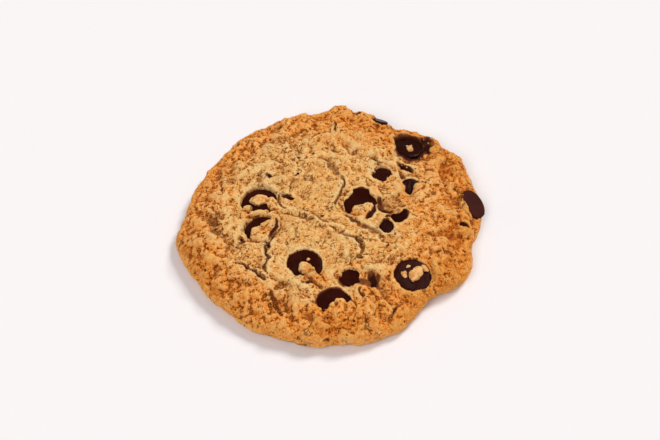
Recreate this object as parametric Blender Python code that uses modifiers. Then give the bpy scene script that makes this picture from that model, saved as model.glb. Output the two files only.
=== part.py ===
"""Chocolate chip cookie, about 85 mm across: a slab of baked dough with chips seated in pockets.

The dough is one solid. It is wide and low, with a lobed outline, a domed top and a flat underside
whose edge curls up to the rim. Each chip is a turned drop, most of them pressed in point down so
that the round base shows. Every chip has its own pocket in the dough, a little wider than itself.
Positions are in millimetres from the middle of the underside, +X right, +Y to the back, +Z up.
"""
import math

import bmesh
import bpy
from mathutils import Matrix, Vector

MM = 0.001
NAME = "chocolate_chip_cookie"

# Driving dimensions of the dough (mm).
OUTLINE_RADIUS = 41.7
OUTLINE_CENTRE = (-0.15, -0.05)
CROWN_HEIGHT = 9.3
RIM_HEIGHT = 2.1
RIM_LIFT = 1.5
FOOT_FRACTION = 0.90
SHOULDER_POWER = 4.2
ROUND_POWER = 2.1
SWELL_FADE_POWER = 8
RING_CROWDING = 1.5

# Lobes of the outline: bearing (degrees), half-width (degrees), reach past the base radius (mm).
LOBES = (
    (29.0, 5.5, 1.7),
    (45.0, 5.5, 0.9),
    (62.0, 9.0, -2.8),
    (87.0, 11.0, 1.6),
    (97.0, 7.0, -2.4),
    (142.0, 45.0, -2.4),
    (193.0, 10.0, 2.0),
    (227.0, 45.0, 0.7),
    (272.0, 27.0, 0.4),
    (313.0, 12.5, -3.5),
    (329.0, 5.5, 0.8),
    (346.0, 8.5, -2.1),
)

# The rim stands off the table along one stretch at the front right.
LIFT_BEARING = -38.0
LIFT_HALF_WIDTH = 15.0

# Swells and hollows of the top: x, y, half-length, half-width (mm), bearing (degrees), height (mm).
SWELLS = (
    (6.0, 27.0, 11.0, 8.0, 0.0, 0.7),
    (3.4, -13.6, 5.0, 3.0, 120.0, 0.6),
    (-24.0, -20.0, 12.0, 8.0, 135.0, 0.5),
    (24.0, -25.0, 12.0, 9.0, 45.0, -1.5),
    (25.0, 17.0, 9.0, 15.0, 20.0, -1.1),
    (-20.0, -3.0, 9.0, 12.0, 0.0, -0.5),
    (11.0, 1.0, 8.0, 6.0, 30.0, -0.5),
)

# Fineness of the dough's mesh: steps round it and rings from pole to pole.
DOUGH_SEGMENTS = 72
DOUGH_RINGS = 30

# A chip as a turned drop, as fractions of its base radius and of its height, from tip to base.
CHIP_HEIGHT_TO_WIDTH = 0.52
CHIP_PROFILE = (
    (0.00, 1.00),
    (0.14, 0.95),
    (0.34, 0.76),
    (0.62, 0.54),
    (0.86, 0.33),
    (0.98, 0.16),
    (0.97, 0.06),
    (0.88, 0.00),
    (0.00, 0.00),
)
CHIP_STEPS = 12
POCKET_GAP = 0.3
POCKET_MOUTH = 8.0
POCKET_FLARE = 0.35
MOUTH_START = 0.1

# Chips: name, middle of the base (x, y, z in mm), base width (mm), lean of the base's facing
# direction away from straight up (degrees) and the bearing it leans towards (degrees).
CHIPS = (
    ("chip_left_upper", (-20.2, 2.6, 7.6), 10.0, 8.0, 150.0),
    ("chip_left_lower", (-19.3, -7.6, 7.6), 9.2, 10.0, 200.0),
    ("chip_front_left", (-7.6, -20.0, 8.0), 10.0, 8.0, 250.0),
    ("chip_front_middle", (0.5, -32.4, 6.7), 10.2, 16.0, 270.0),
    ("chip_front_small", (4.8, -23.6, 7.5), 6.4, 10.0, 250.0),
    ("chip_front_right", (21.5, -22.3, 6.2), 10.4, 12.0, 315.0),
    ("chip_centre", (7.6, 2.0, 7.9), 9.4, 16.0, 250.0),
    ("chip_centre_right", (18.4, -2.3, 7.4), 5.0, 25.0, 200.0),
    ("chip_centre_sliver", (14.6, -6.5, 7.5), 4.2, 30.0, 240.0),
    ("chip_back_middle", (14.0, 12.3, 8.0), 6.0, 10.0, 80.0),
    ("chip_right_upper", (22.0, 8.6, 7.1), 5.4, 12.0, 300.0),
    ("chip_back_right", (21.75, 23.9, 6.4), 8.2, 12.0, 45.0),
    ("chip_back_right_small", (28.1, 23.2, 5.9), 4.0, 22.0, 30.0),
    ("chip_back_edge", (13.7, 35.0, 6.1), 5.4, 40.0, 68.0),
    ("chip_right_edge", (39.4, 3.4, 5.6), 8.8, 40.0, -8.0),
)

DOUGH_COLOUR = (0.66, 0.43, 0.19, 1.0)
DOUGH_ROUGHNESS = 0.85
CHIP_COLOUR = (0.055, 0.022, 0.016, 1.0)
CHIP_ROUGHNESS = 0.42


def clear_scene() -> None:
    """Remove every object, so that the model starts from an empty scene."""
    for obj in list(bpy.data.objects):
        bpy.data.objects.remove(obj, do_unlink=True)


def make_collection(name: str) -> bpy.types.Collection:
    """A new collection linked to the scene."""
    collection = bpy.data.collections.new(name)
    bpy.context.scene.collection.children.link(collection)
    return collection


def make_material(name: str, colour: tuple, roughness: float) -> bpy.types.Material:
    """A plain non-metallic material."""
    material = bpy.data.materials.new(name)
    material.use_nodes = True
    shader = material.node_tree.nodes["Principled BSDF"]
    shader.inputs["Base Color"].default_value = colour
    shader.inputs["Roughness"].default_value = roughness
    shader.inputs["Metallic"].default_value = 0.0
    return material


def bell(offset: float, half_width: float) -> float:
    """A smooth bump, 1 in the middle and falling to 1/e at the half-width."""
    return math.exp(-(offset / half_width) ** 2)


def bearing_offset(bearing: float, centre: float) -> float:
    """Signed difference of two bearings in degrees, between -180 and 180."""
    return (bearing - centre + 180.0) % 360.0 - 180.0


def outline_radius(bearing: float) -> float:
    """Reach of the rim at a bearing (mm)."""
    reach = OUTLINE_RADIUS
    for centre, half_width, height in LOBES:
        reach += height * bell(bearing_offset(bearing, centre), half_width)
    return reach


def rim_height(bearing: float) -> float:
    """Height of the widest line of the rim above the table (mm)."""
    return RIM_HEIGHT + RIM_LIFT * bell(bearing_offset(bearing, LIFT_BEARING), LIFT_HALF_WIDTH)


def swell_height(x: float, y: float) -> float:
    """Sum of the swells and hollows of the top at a place (mm)."""
    total = 0.0
    for centre_x, centre_y, length, width, bearing, height in SWELLS:
        turn = math.radians(bearing)
        along = (x - centre_x) * math.cos(turn) + (y - centre_y) * math.sin(turn)
        across = (y - centre_y) * math.cos(turn) - (x - centre_x) * math.sin(turn)
        total += height * bell(along, length) * bell(across, width)
    return total


def top_height(fraction: float, bearing: float, x: float, y: float) -> float:
    """Height of the top at a fraction of the way out to the rim (mm)."""
    rim = rim_height(bearing)
    dome = (1.0 - fraction ** SHOULDER_POWER) ** (1.0 / ROUND_POWER)
    swell = swell_height(x, y) * (1.0 - fraction ** SWELL_FADE_POWER)
    return rim + (CROWN_HEIGHT - rim) * dome + swell


def under_height(fraction: float, bearing: float) -> float:
    """Height of the underside: flat inside the foot, then curling up to the rim (mm)."""
    if fraction <= FOOT_FRACTION:
        return 0.0
    out = (fraction - FOOT_FRACTION) / (1.0 - FOOT_FRACTION)
    return rim_height(bearing) * (1.0 - math.sqrt(1.0 - min(out, 1.0) ** 2))


def ring_fraction(latitude: float) -> float:
    """Fraction of the way out for a ring of the ball, finer towards the rim."""
    steps_in = abs(latitude) / (math.pi / 2.0)
    return 1.0 - steps_in ** RING_CROWDING


def build_dough(collection: bpy.types.Collection, material: bpy.types.Material) -> bpy.types.Object:
    """The slab of dough, a ball whose points are moved to the outline, top and underside."""
    bm = bmesh.new()
    bmesh.ops.create_uvsphere(bm, u_segments=DOUGH_SEGMENTS, v_segments=DOUGH_RINGS, radius=1.0)
    for vert in bm.verts:
        latitude = math.asin(max(-1.0, min(1.0, vert.co.z)))
        fraction = ring_fraction(latitude)
        angle = math.atan2(vert.co.y, vert.co.x)
        bearing = math.degrees(angle)
        reach = outline_radius(bearing) * fraction
        x = OUTLINE_CENTRE[0] + reach * math.cos(angle)
        y = OUTLINE_CENTRE[1] + reach * math.sin(angle)
        if latitude >= 0.0:
            z = top_height(fraction, bearing, x, y)
        else:
            z = under_height(fraction, bearing)
        vert.co = Vector((x, y, z)) * MM
    bmesh.ops.triangulate(bm, faces=bm.faces[:])
    mesh = bpy.data.meshes.new("dough")
    bm.to_mesh(mesh)
    bm.free()
    mesh.shade_smooth()
    dough = bpy.data.objects.new("dough", mesh)
    dough.data.materials.append(material)
    collection.objects.link(dough)
    return dough


def turned_object(name: str, profile: list, steps: int) -> bpy.types.Object:
    """A solid of revolution about Z from a profile of (radius, height) in metres, top to bottom."""
    mesh = bpy.data.meshes.new(name)
    points = [(radius, 0.0, height) for radius, height in profile]
    edges = [(index, index + 1) for index in range(len(points) - 1)]
    mesh.from_pydata(points, edges, [])
    obj = bpy.data.objects.new(name, mesh)
    screw = obj.modifiers.new("turn", "SCREW")
    screw.axis = "Z"
    screw.angle = 2.0 * math.pi
    screw.steps = steps
    screw.render_steps = steps
    screw.use_merge_vertices = True
    screw.merge_threshold = 0.00001
    screw.use_smooth_shade = True
    return obj


def chip_profile(width: float) -> list:
    """Outer line of a chip of a given base width (mm), tip first, base in the plane z = 0."""
    radius = width / 2.0
    height = width * CHIP_HEIGHT_TO_WIDTH
    return [(out * radius * MM, up * height * MM) for out, up in CHIP_PROFILE]


def pocket_profile(width: float) -> list:
    """Outer line of a chip's pocket: the chip grown by the gap, with a mouth that opens past its base."""
    radius = width / 2.0 + POCKET_GAP
    height = width * CHIP_HEIGHT_TO_WIDTH
    widest = max(out for out, _ in CHIP_PROFILE)
    line = []
    for out, up in CHIP_PROFILE:
        if up < MOUTH_START:
            break
        grown_out = out * width / 2.0 + (POCKET_GAP if out > 0.0 else 0.0)
        line.append((grown_out, up * (height + POCKET_GAP)))
    line.append((widest * radius, 0.0))
    line.append((widest * radius + POCKET_FLARE * POCKET_MOUTH, -POCKET_MOUTH))
    line.append((0.0, -POCKET_MOUTH))
    return [(out * MM, up * MM) for out, up in line]


def seat_matrix(centre: tuple, lean: float, bearing: float) -> Matrix:
    """Placement that turns a chip base outwards and puts the middle of its base at its seat."""
    turn = math.radians(bearing)
    facing = Vector((math.cos(turn), math.sin(turn), 0.0)) * math.sin(math.radians(lean))
    facing.z = math.cos(math.radians(lean))
    tip_direction = (-facing).to_track_quat("Z", "Y").to_matrix().to_4x4()
    return Matrix.Translation(Vector(centre) * MM) @ tip_direction


def build_chip(seat: tuple, collection: bpy.types.Collection, material: bpy.types.Material) -> None:
    """One chocolate chip at its seat."""
    name, centre, width, lean, bearing = seat
    chip = turned_object(name, chip_profile(width), CHIP_STEPS)
    chip.matrix_world = seat_matrix(centre, lean, bearing)
    chip.data.materials.append(material)
    collection.objects.link(chip)


def cut_pocket(dough: bpy.types.Object, seat: tuple, cutters: bpy.types.Collection) -> None:
    """Cut the pocket of one chip out of the dough."""
    name, centre, width, lean, bearing = seat
    cutter = turned_object("pocket_" + name, pocket_profile(width), CHIP_STEPS)
    cutter.matrix_world = seat_matrix(centre, lean, bearing)
    cutter.hide_render = True
    cutter.display_type = "WIRE"
    cutters.objects.link(cutter)
    cut = dough.modifiers.new("cut_" + name, "BOOLEAN")
    cut.operation = "DIFFERENCE"
    cut.solver = "EXACT"
    cut.object = cutter


def main() -> None:
    """Build the cookie."""
    clear_scene()
    parts = make_collection(NAME)
    cutters = make_collection(NAME + "_cutters")
    dough_material = make_material("baked_dough", DOUGH_COLOUR, DOUGH_ROUGHNESS)
    chip_material = make_material("chocolate", CHIP_COLOUR, CHIP_ROUGHNESS)
    dough = build_dough(parts, dough_material)
    for seat in CHIPS:
        build_chip(seat, parts, chip_material)
        cut_pocket(dough, seat, cutters)


main()
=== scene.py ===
"""Looks of a chocolate chip cookie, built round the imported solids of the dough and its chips.

The dough is one closed skin of fine rings whose height follows a form: a lobed outline, a dome,
named swells, creases, steps and pockets. Geometry Nodes then give the crust its grain and pores
and scatter loose grains on it. Every chip is a turned drop of chocolate in its own pocket.
Lengths inside the form are in millimetres; meshes are in metres.
"""

import logging
import math
from dataclasses import dataclass, field
from enum import Enum
from typing import Callable, Iterable, Optional, Sequence, Union

import bmesh
import bpy
import numpy as np
from mathutils import Matrix, Vector, noise


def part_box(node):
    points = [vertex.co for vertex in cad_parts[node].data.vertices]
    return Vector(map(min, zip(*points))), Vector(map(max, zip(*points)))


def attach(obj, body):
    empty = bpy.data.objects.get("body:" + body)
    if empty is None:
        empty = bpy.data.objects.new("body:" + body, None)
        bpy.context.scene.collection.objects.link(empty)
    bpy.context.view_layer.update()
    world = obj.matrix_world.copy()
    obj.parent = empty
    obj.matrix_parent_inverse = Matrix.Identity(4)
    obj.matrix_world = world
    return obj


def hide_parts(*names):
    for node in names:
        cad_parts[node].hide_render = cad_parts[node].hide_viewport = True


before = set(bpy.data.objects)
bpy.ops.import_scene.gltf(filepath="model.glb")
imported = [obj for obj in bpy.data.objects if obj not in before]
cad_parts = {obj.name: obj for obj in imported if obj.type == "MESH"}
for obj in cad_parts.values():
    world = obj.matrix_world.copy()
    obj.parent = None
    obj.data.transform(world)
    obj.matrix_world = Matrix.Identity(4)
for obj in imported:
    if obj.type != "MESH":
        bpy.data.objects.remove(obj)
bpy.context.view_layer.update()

LOG = logging.getLogger("cookie")
MM = 0.001
BODY = "root"

Colour = tuple[float, float, float]
Array = np.ndarray


# ---------------------------------------------------------------------------------------------
# Small maths


def bell(offset: Array, half_width: float) -> Array:
    """A smooth bump, 1 in the middle and falling to 1/e at the half-width."""
    return np.exp(-((offset / half_width) ** 2))


def smooth_step(low: float, high: float, value: Array) -> Array:
    """Zero below low, one above high, and a smooth rise between them."""
    share = np.clip((value - low) / (high - low), 0.0, 1.0)
    return share * share * (3.0 - 2.0 * share)


def bearing_offset(bearing: Array, centre: float) -> Array:
    """Signed difference of bearings in degrees, between -180 and 180."""
    return (bearing - centre + 180.0) % 360.0 - 180.0


class Mottle:
    """Smooth seeded noise over the plane, between -1 and 1."""

    TABLE = 128

    def __init__(self, seed: int) -> None:
        """Fill the lattice of random values."""
        self.lattice = np.random.default_rng(seed).uniform(-1.0, 1.0, (self.TABLE, self.TABLE))

    def octave(self, x: Array, y: Array) -> Array:
        """One layer of noise with features about one unit across."""
        cell_x, cell_y = np.floor(x), np.floor(y)
        share_x, share_y = x - cell_x, y - cell_y
        share_x = share_x * share_x * (3.0 - 2.0 * share_x)
        share_y = share_y * share_y * (3.0 - 2.0 * share_y)
        column, row = cell_x.astype(int) % self.TABLE, cell_y.astype(int) % self.TABLE
        next_column, next_row = (column + 1) % self.TABLE, (row + 1) % self.TABLE
        near = self.lattice[row, column] * (1.0 - share_x) + self.lattice[row, next_column] * share_x
        far = self.lattice[next_row, column] * (1.0 - share_x) + self.lattice[next_row, next_column] * share_x
        return near * (1.0 - share_y) + far * share_y

    def layers(self, x: Array, y: Array, size: float, count: int = 3) -> Array:
        """Several layers of noise, each half as large and half as strong as the one before.

        Args:
            x: Places to the right, mm.
            y: Places to the back, mm.
            size: Width of the largest features, mm.
            count: How many layers.

        Returns:
            The noise at each place, about -1 to 1.
        """
        total, strength, scale = np.zeros_like(x), 1.0, 1.0 / size
        for layer in range(count):
            total = total + strength * self.octave(x * scale + 17.3 * layer, y * scale + 9.1 * layer)
            strength, scale = strength * 0.5, scale * 2.0
        return total


# ---------------------------------------------------------------------------------------------
# Node trees written as expressions


class Wire:
    """A number socket that takes part in plain arithmetic."""

    def __init__(self, bench: "Bench", socket: bpy.types.NodeSocket) -> None:
        """Keep the socket and the bench that makes its Math nodes."""
        self.bench = bench
        self.socket = socket

    def __add__(self, other: "Value") -> "Wire":
        """Sum."""
        return self.bench.math("ADD", self, other)

    def __radd__(self, other: "Value") -> "Wire":
        """Sum, the number first."""
        return self.bench.math("ADD", other, self)

    def __sub__(self, other: "Value") -> "Wire":
        """Difference."""
        return self.bench.math("SUBTRACT", self, other)

    def __rsub__(self, other: "Value") -> "Wire":
        """Difference, the number first."""
        return self.bench.math("SUBTRACT", other, self)

    def __mul__(self, other: "Value") -> "Wire":
        """Product."""
        return self.bench.math("MULTIPLY", self, other)

    def __rmul__(self, other: "Value") -> "Wire":
        """Product, the number first."""
        return self.bench.math("MULTIPLY", other, self)

    def __truediv__(self, other: "Value") -> "Wire":
        """Quotient."""
        return self.bench.math("DIVIDE", self, other)

    def __pow__(self, other: "Value") -> "Wire":
        """Power."""
        return self.bench.math("POWER", self, other)

    def clamp(self) -> "Wire":
        """The value kept between 0 and 1."""
        return self.bench.math("ADD", self, 0.0, clamp=True)

    def size(self) -> "Wire":
        """The value without its sign."""
        return self.bench.math("ABSOLUTE", self)


Value = Union[float, Wire]
Feed = Union[float, int, bool, tuple, Wire, bpy.types.NodeSocket, bpy.types.ID]


class Bench:
    """Makes the nodes of one tree."""

    def __init__(self, tree: bpy.types.NodeTree) -> None:
        """Work on one node tree."""
        self.tree = tree

    def feed(self, socket: bpy.types.NodeSocket, value: Feed) -> None:
        """Link a wire or socket to an input, or set a plain value on it."""
        if isinstance(value, Wire):
            self.tree.links.new(value.socket, socket)
        elif isinstance(value, bpy.types.NodeSocket):
            self.tree.links.new(value, socket)
        else:
            socket.default_value = value

    def node(self, kind: str, settings: Optional[dict] = None,
             inputs: Optional[dict] = None) -> bpy.types.Node:
        """Make any node.

        Args:
            kind: The node's type name.
            settings: Its properties, set before its sockets; "stops" fills a colour ramp.
            inputs: What each socket takes, by the socket's name or number.

        Returns:
            The new node.
        """
        made = self.tree.nodes.new(kind)
        for name, value in (settings or {}).items():
            if name == "stops":
                self.fill_ramp(made.color_ramp, value)
            else:
                setattr(made, name, value)
        for name, value in (inputs or {}).items():
            self.feed(made.inputs[name], value)
        return made

    @staticmethod
    def fill_ramp(ramp: bpy.types.ColorRamp, stops: Sequence[tuple[float, float]]) -> None:
        """Give a ramp its grey stops of (position, level)."""
        while len(ramp.elements) < len(stops):
            ramp.elements.new(0.5)
        for element, (position, level) in zip(ramp.elements, stops):
            element.position = position
            element.color = (level, level, level, 1.0)

    def math(self, operation: str, *values: Value, clamp: bool = False) -> Wire:
        """One Math node on values or wires."""
        made = self.node("ShaderNodeMath", {"operation": operation, "use_clamp": clamp},
                         dict(enumerate(values)))
        return Wire(self, made.outputs[0])

    def rise(self, value: Value, low: float, high: float) -> Wire:
        """Zero at low, one at high, smooth between them."""
        made = self.node("ShaderNodeMapRange", {"interpolation_type": "SMOOTHSTEP"},
                         {"Value": value, "From Min": low, "From Max": high})
        return Wire(self, made.outputs["Result"])

    def blend(self, share: Value, first: Feed, second: Feed, way: str = "MIX") -> bpy.types.NodeSocket:
        """Mix two colours.

        Args:
            share: How much of the second colour.
            first: The colour at 0.
            second: The colour at 1.
            way: The blend type.

        Returns:
            The mixed colour's socket.
        """
        settings = {"data_type": "RGBA", "blend_type": way, "clamp_factor": True}
        made = self.node("ShaderNodeMix", settings)
        self.feed(made.inputs[0], share)
        self.feed(made.inputs[6], first if not isinstance(first, tuple) else (*first, 1.0))
        self.feed(made.inputs[7], second if not isinstance(second, tuple) else (*second, 1.0))
        return made.outputs[2]

    def grain(self, place: Feed, size: float, detail: float = 2.0, roughness: float = 0.5,
              seed: float = 0.0) -> Wire:
        """Cloudy noise.

        Args:
            place: The position socket, in metres.
            size: Width of its largest features, mm.
            detail: Number of finer layers.
            roughness: Strength of the finer layers.
            seed: Moves to another stretch of the noise.

        Returns:
            The noise, about 0.2 to 0.8 round 0.5.
        """
        made = self.node("ShaderNodeTexNoise", {"noise_dimensions": "4D"},
                         {"Vector": place, "W": seed, "Scale": 1.0 / (size * MM), "Detail": detail,
                          "Roughness": roughness})
        return Wire(self, made.outputs[0])

    def warp(self, place: Feed, size: float, amount: float, seed: float = 0.0) -> bpy.types.NodeSocket:
        """The position pushed about by noise.

        Args:
            place: The position socket, in metres.
            size: Width of the swirls, mm.
            amount: How far it is pushed, mm.
            seed: Moves to another stretch of the noise.

        Returns:
            The bent position.
        """
        swirl = self.node("ShaderNodeTexNoise", {"noise_dimensions": "4D"},
                          {"Vector": place, "W": seed + 20.0, "Scale": 1.0 / (size * MM), "Detail": 1.0})
        middle = self.node("ShaderNodeVectorMath", {"operation": "SUBTRACT"},
                           {0: swirl.outputs["Color"], 1: (0.5, 0.5, 0.5)})
        push = self.node("ShaderNodeVectorMath", {"operation": "SCALE"},
                         {0: middle.outputs[0], "Scale": 4.0 * amount * MM})
        return self.node("ShaderNodeVectorMath", {"operation": "ADD"},
                         {0: place, 1: push.outputs[0]}).outputs[0]

    def pits(self, place: Feed, size: float, smallest: float, largest: float, seed: float = 0.0) -> Wire:
        """Scattered round pits of mixed sizes.

        Args:
            place: The position socket, in metres.
            size: Mean distance between pits, mm.
            smallest: Radius of the smallest, as a share of that distance.
            largest: Radius of the largest, as a share of that distance.
            seed: Moves to another stretch of the scatter.

        Returns:
            Zero between the pits, one at the bottom of each.
        """
        made = self.node("ShaderNodeTexVoronoi", {"voronoi_dimensions": "4D", "feature": "F1"},
                         {"Vector": place, "W": seed, "Scale": 1.0 / (size * MM)})
        dice = self.node("ShaderNodeSeparateXYZ", None, {"Vector": made.outputs["Color"]})
        radius = Wire(self, dice.outputs["X"]) * (largest - smallest) + smallest
        return self.rise(Wire(self, made.outputs["Distance"]) / radius, 1.3, 0.5)

    def crumbs(self, place: Feed, size: float, seed: float = 0.0) -> tuple[Wire, Wire]:
        """Packed crumbs, each with its own tone.

        Args:
            place: The position socket, in metres.
            size: Mean width of a crumb, mm.
            seed: Moves to another stretch of the pattern.

        Returns:
            A random tone for each crumb, and the distance from its middle as a share of the width.
        """
        made = self.node("ShaderNodeTexVoronoi", {"voronoi_dimensions": "4D", "feature": "F1"},
                         {"Vector": place, "W": seed, "Scale": 1.0 / (size * MM)})
        dice = self.node("ShaderNodeSeparateXYZ", None, {"Vector": made.outputs["Color"]})
        return Wire(self, dice.outputs["X"]), Wire(self, made.outputs["Distance"])

    def cracks(self, place: Feed, size: float, width: float, seed: float = 0.0) -> Wire:
        """A net of thin cracks.

        Args:
            place: The position socket, in metres.
            size: Mean distance between cracks, mm.
            width: Half the width of a crack, mm.
            seed: Moves to another stretch of the net.

        Returns:
            One in the middle of a crack and zero away from it.
        """
        made = self.node("ShaderNodeTexVoronoi", {"voronoi_dimensions": "4D", "feature": "DISTANCE_TO_EDGE"},
                         {"Vector": place, "W": seed, "Scale": 1.0 / (size * MM)})
        return self.rise(Wire(self, made.outputs["Distance"]), width / size, 0.3 * width / size)


def new_material(name: str) -> tuple[bpy.types.Material, Bench, bpy.types.Node]:
    """A material with its bench and its shader node."""
    material = bpy.data.materials.new(name)
    material.use_nodes = True
    return material, Bench(material.node_tree), material.node_tree.nodes["Principled BSDF"]


# ---------------------------------------------------------------------------------------------
# Finishes


@dataclass(frozen=True)
class DoughFinish:
    """Baked dough: pale in the middle, toasted on the rim and ridges, with painted shade in its pores, cracks,
    hollows and creases and painted highlights on its crests.
    """

    pale: Colour = (0.93, 0.462, 0.125)
    golden: Colour = (0.95, 0.300, 0.034)
    # Toasting brown, also used as painted shade in low places and valleys.
    toasted: Colour = (0.60, 0.148, 0.014)
    # A dull olive brown for cloudy patches, also used as painted shade in the valleys of the middle.
    dull: Colour = (0.42, 0.205, 0.070)
    # The next three colours are painted light: shade for pores, pits and cracks, and highlights for pale and toasted
    # crests.
    pore_shade: Colour = (0.110, 0.030, 0.006)
    light: Colour = (1.0, 0.73, 0.34)
    toasted_highlight: Colour = (1.0, 0.53, 0.125)
    # The next two colours darken melted chocolate round the chips, and also paint shade on pocket walls and in the
    # bottoms of creases.
    smear_and_shade: Colour = (0.260, 0.075, 0.022)
    stain_and_shade: Colour = (0.060, 0.014, 0.006)
    roughness: float = 0.85

    def material(self) -> bpy.types.Material:
        """Build the dough's material.

        Returns:
            A material that reads the skin's toast, hollow, valley and stain attributes.
        """
        material, bench, shader = new_material("baked_dough")
        place = bench.node("ShaderNodeTexCoord").outputs["Object"]
        toast, hollow, valley, stain_and_shade = (self.attribute(bench, name)
                                        for name in ("toast", "hollow", "valley", "stain_and_shade"))
        patches = bench.grain(place, 5.0, 4.0, 0.65)
        flecks = bench.grain(place, 0.95, 4.0, 0.7, seed=3.0)
        sand = bench.grain(place, 0.36, 2.0, 0.75, seed=8.0)
        tone, gap = bench.crumbs(bench.warp(place, 0.8, 0.15), 0.52, seed=1.0)
        toasting = (toast + (patches - 0.5) * 1.0 + (flecks - 0.5) * (0.35 + toast * 0.4)).clamp()
        colour = bench.blend(bench.rise(toasting, 0.0, 0.62), self.pale, self.golden)
        colour = bench.blend(bench.rise(toasting, 0.55, 1.25), colour, self.toasted)
        clouds = bench.rise(bench.grain(place, 7.0, 3.0, 0.6, seed=12.0), 0.48, 0.70)
        colour = bench.blend(clouds * 0.38 * (1.0 - toasting), colour, self.dull)
        height = hollow * 0.80 + (tone - 0.5) * 0.55 + (sand - 0.5) * 4.2 + (flecks - 0.5) * (0.4 + toasting * 0.8)
        height = height + (0.35 - gap) * 0.5 + 0.10
        # Painted highlight on the crests of the fine relief, mixed with the light grain of the crumb.
        lit = (bench.rise(height, 0.05, 0.80) * (0.82 - toasting * 0.25)).clamp()
        colour = bench.blend(lit, colour, bench.blend(toasting, self.light, self.toasted_highlight))
        # Painted shade in the low places of the fine relief, mixed with the dark grain of the crumb: toasted brown,
        # and the deepest near black.
        colour = bench.blend(bench.rise(height, -0.10, -0.50) * 0.65, colour, self.toasted)
        colour = bench.blend(bench.rise(height, -0.46, -0.76) * 0.90, colour, self.pore_shade)
        # Painted highlight on the raised parts of the larger relief, and painted shade in its valleys.
        raised = bench.rise(valley, 0.15, 0.9) * 0.14
        colour = bench.blend(raised, colour, bench.blend(toasting, self.light, self.toasted_highlight))
        sunk = (valley * -1.0 - 0.15).clamp()
        colour = bench.blend(sunk * 0.45 * (1.0 - toasting), colour, self.dull)
        colour = bench.blend(sunk * 0.60 * toasting, colour, self.toasted)
        # Painted shade: scattered pits and a net of thin cracks coloured near black.
        holes = bench.pits(bench.warp(place, 0.4, 0.16), 0.95, 0.10, 0.34, seed=2.0)
        gate = bench.rise(bench.grain(place, 2.2, 2.0, 0.6, seed=14.0), 0.40, 0.52)
        colour = bench.blend(holes * gate * 0.95, colour, self.pore_shade)
        torn = bench.rise(bench.grain(place, 3.6, 1.0, 0.5, seed=22.0), 0.53, 0.62)
        cracks = bench.cracks(bench.warp(place, 1.1, 0.55), 5.6, 0.16, seed=6.0) * torn
        colour = bench.blend(cracks * (0.45 + flecks * 0.5), colour, self.pore_shade)
        # Melted chocolate round the chips with painted shade on their pocket walls, and painted shade in the bottoms
        # of the dark creases.
        melted = (stain_and_shade + (flecks - 0.5) * 0.6 * stain_and_shade).clamp()
        colour = bench.blend(bench.rise(melted, 0.0, 0.45), colour, self.smear_and_shade)
        colour = bench.blend(bench.rise(melted, 0.30, 0.85), colour, self.stain_and_shade)
        bench.feed(shader.inputs["Base Color"], colour)
        bench.feed(shader.inputs["Roughness"], (self.roughness + (flecks - 0.5) * 0.2).clamp())
        relief = sand * 1.4 + flecks * 0.8 + tone * 0.3 - holes * gate * 0.7 - gap * 0.6 - cracks * 0.6
        bump = bench.node("ShaderNodeBump", None,
                          {"Height": relief, "Strength": 0.9, "Distance": 0.40 * MM})
        bench.feed(shader.inputs["Normal"], bump.outputs["Normal"])
        shader.inputs["Specular IOR Level"].default_value = 0.08
        return material

    @staticmethod
    def attribute(bench: Bench, name: str) -> Wire:
        """The value of one attribute of the skin."""
        made = bench.node("ShaderNodeAttribute", {"attribute_name": name})
        return Wire(bench, made.outputs["Fac"])


@dataclass(frozen=True)
class CrumbFinish:
    """Loose pale crumbs and grains."""

    light: Colour = (0.84, 0.48, 0.18)
    dark: Colour = (0.60, 0.24, 0.055)
    roughness: float = 0.85

    def material(self) -> bpy.types.Material:
        """Build the crumbs' material, mottled between two tones."""
        material, bench, shader = new_material("loose_crumb")
        place = bench.node("ShaderNodeTexCoord").outputs["Object"]
        tone = bench.rise(bench.grain(place, 1.6, 2.0, 0.6), 0.35, 0.65)
        sand = bench.grain(place, 0.35, 2.0, 0.6, seed=2.0)
        colour = bench.blend(tone, self.dark, self.light)
        colour = bench.blend((sand - 0.45).clamp() * 1.5, colour, self.light)
        bench.feed(shader.inputs["Base Color"], colour)
        bench.feed(shader.inputs["Roughness"], self.roughness + (sand - 0.5) * 0.2)
        bump = bench.node("ShaderNodeBump", None,
                          {"Height": sand, "Strength": 0.7, "Distance": 0.15 * MM})
        bench.feed(shader.inputs["Normal"], bump.outputs["Normal"])
        shader.inputs["Specular IOR Level"].default_value = 0.25
        return material


@dataclass(frozen=True)
class ChocolateFinish:
    """Dark chocolate with a soft gloss, duller and paler where it is dusty."""

    name: str = "chocolate"
    dark: Colour = (0.027, 0.0036, 0.0018)
    bloom: Colour = (0.070, 0.014, 0.009)
    dust: float = 0.25
    roughness: float = 0.28
    gloss: float = 0.028
    ripple: float = 0.60

    def material(self) -> bpy.types.Material:
        """Build the chocolate's material."""
        material, bench, shader = new_material(self.name)
        place = bench.node("ShaderNodeTexCoord").outputs["Object"]
        cloud = bench.grain(place, 3.2, 3.0, 0.6, seed=1.0)
        speck = bench.grain(place, 0.5, 2.0, 0.6, seed=4.0)
        dusty = (bench.rise(cloud, 0.38, 0.68) * self.dust + (speck - 0.5) * 0.5 * self.dust).clamp()
        bench.feed(shader.inputs["Base Color"], bench.blend(dusty, self.dark, self.bloom))
        bench.feed(shader.inputs["Roughness"], (self.roughness + dusty * 0.3 + (speck - 0.5) * 0.2).clamp())
        relief = cloud * 1.2 + speck * 0.5
        bump = bench.node("ShaderNodeBump", None,
                          {"Height": relief, "Strength": self.ripple, "Distance": 0.25 * MM})
        bench.feed(shader.inputs["Normal"], bump.outputs["Normal"])
        shader.inputs["Specular IOR Level"].default_value = self.gloss
        return material


# ---------------------------------------------------------------------------------------------
# The form of the dough


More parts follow.
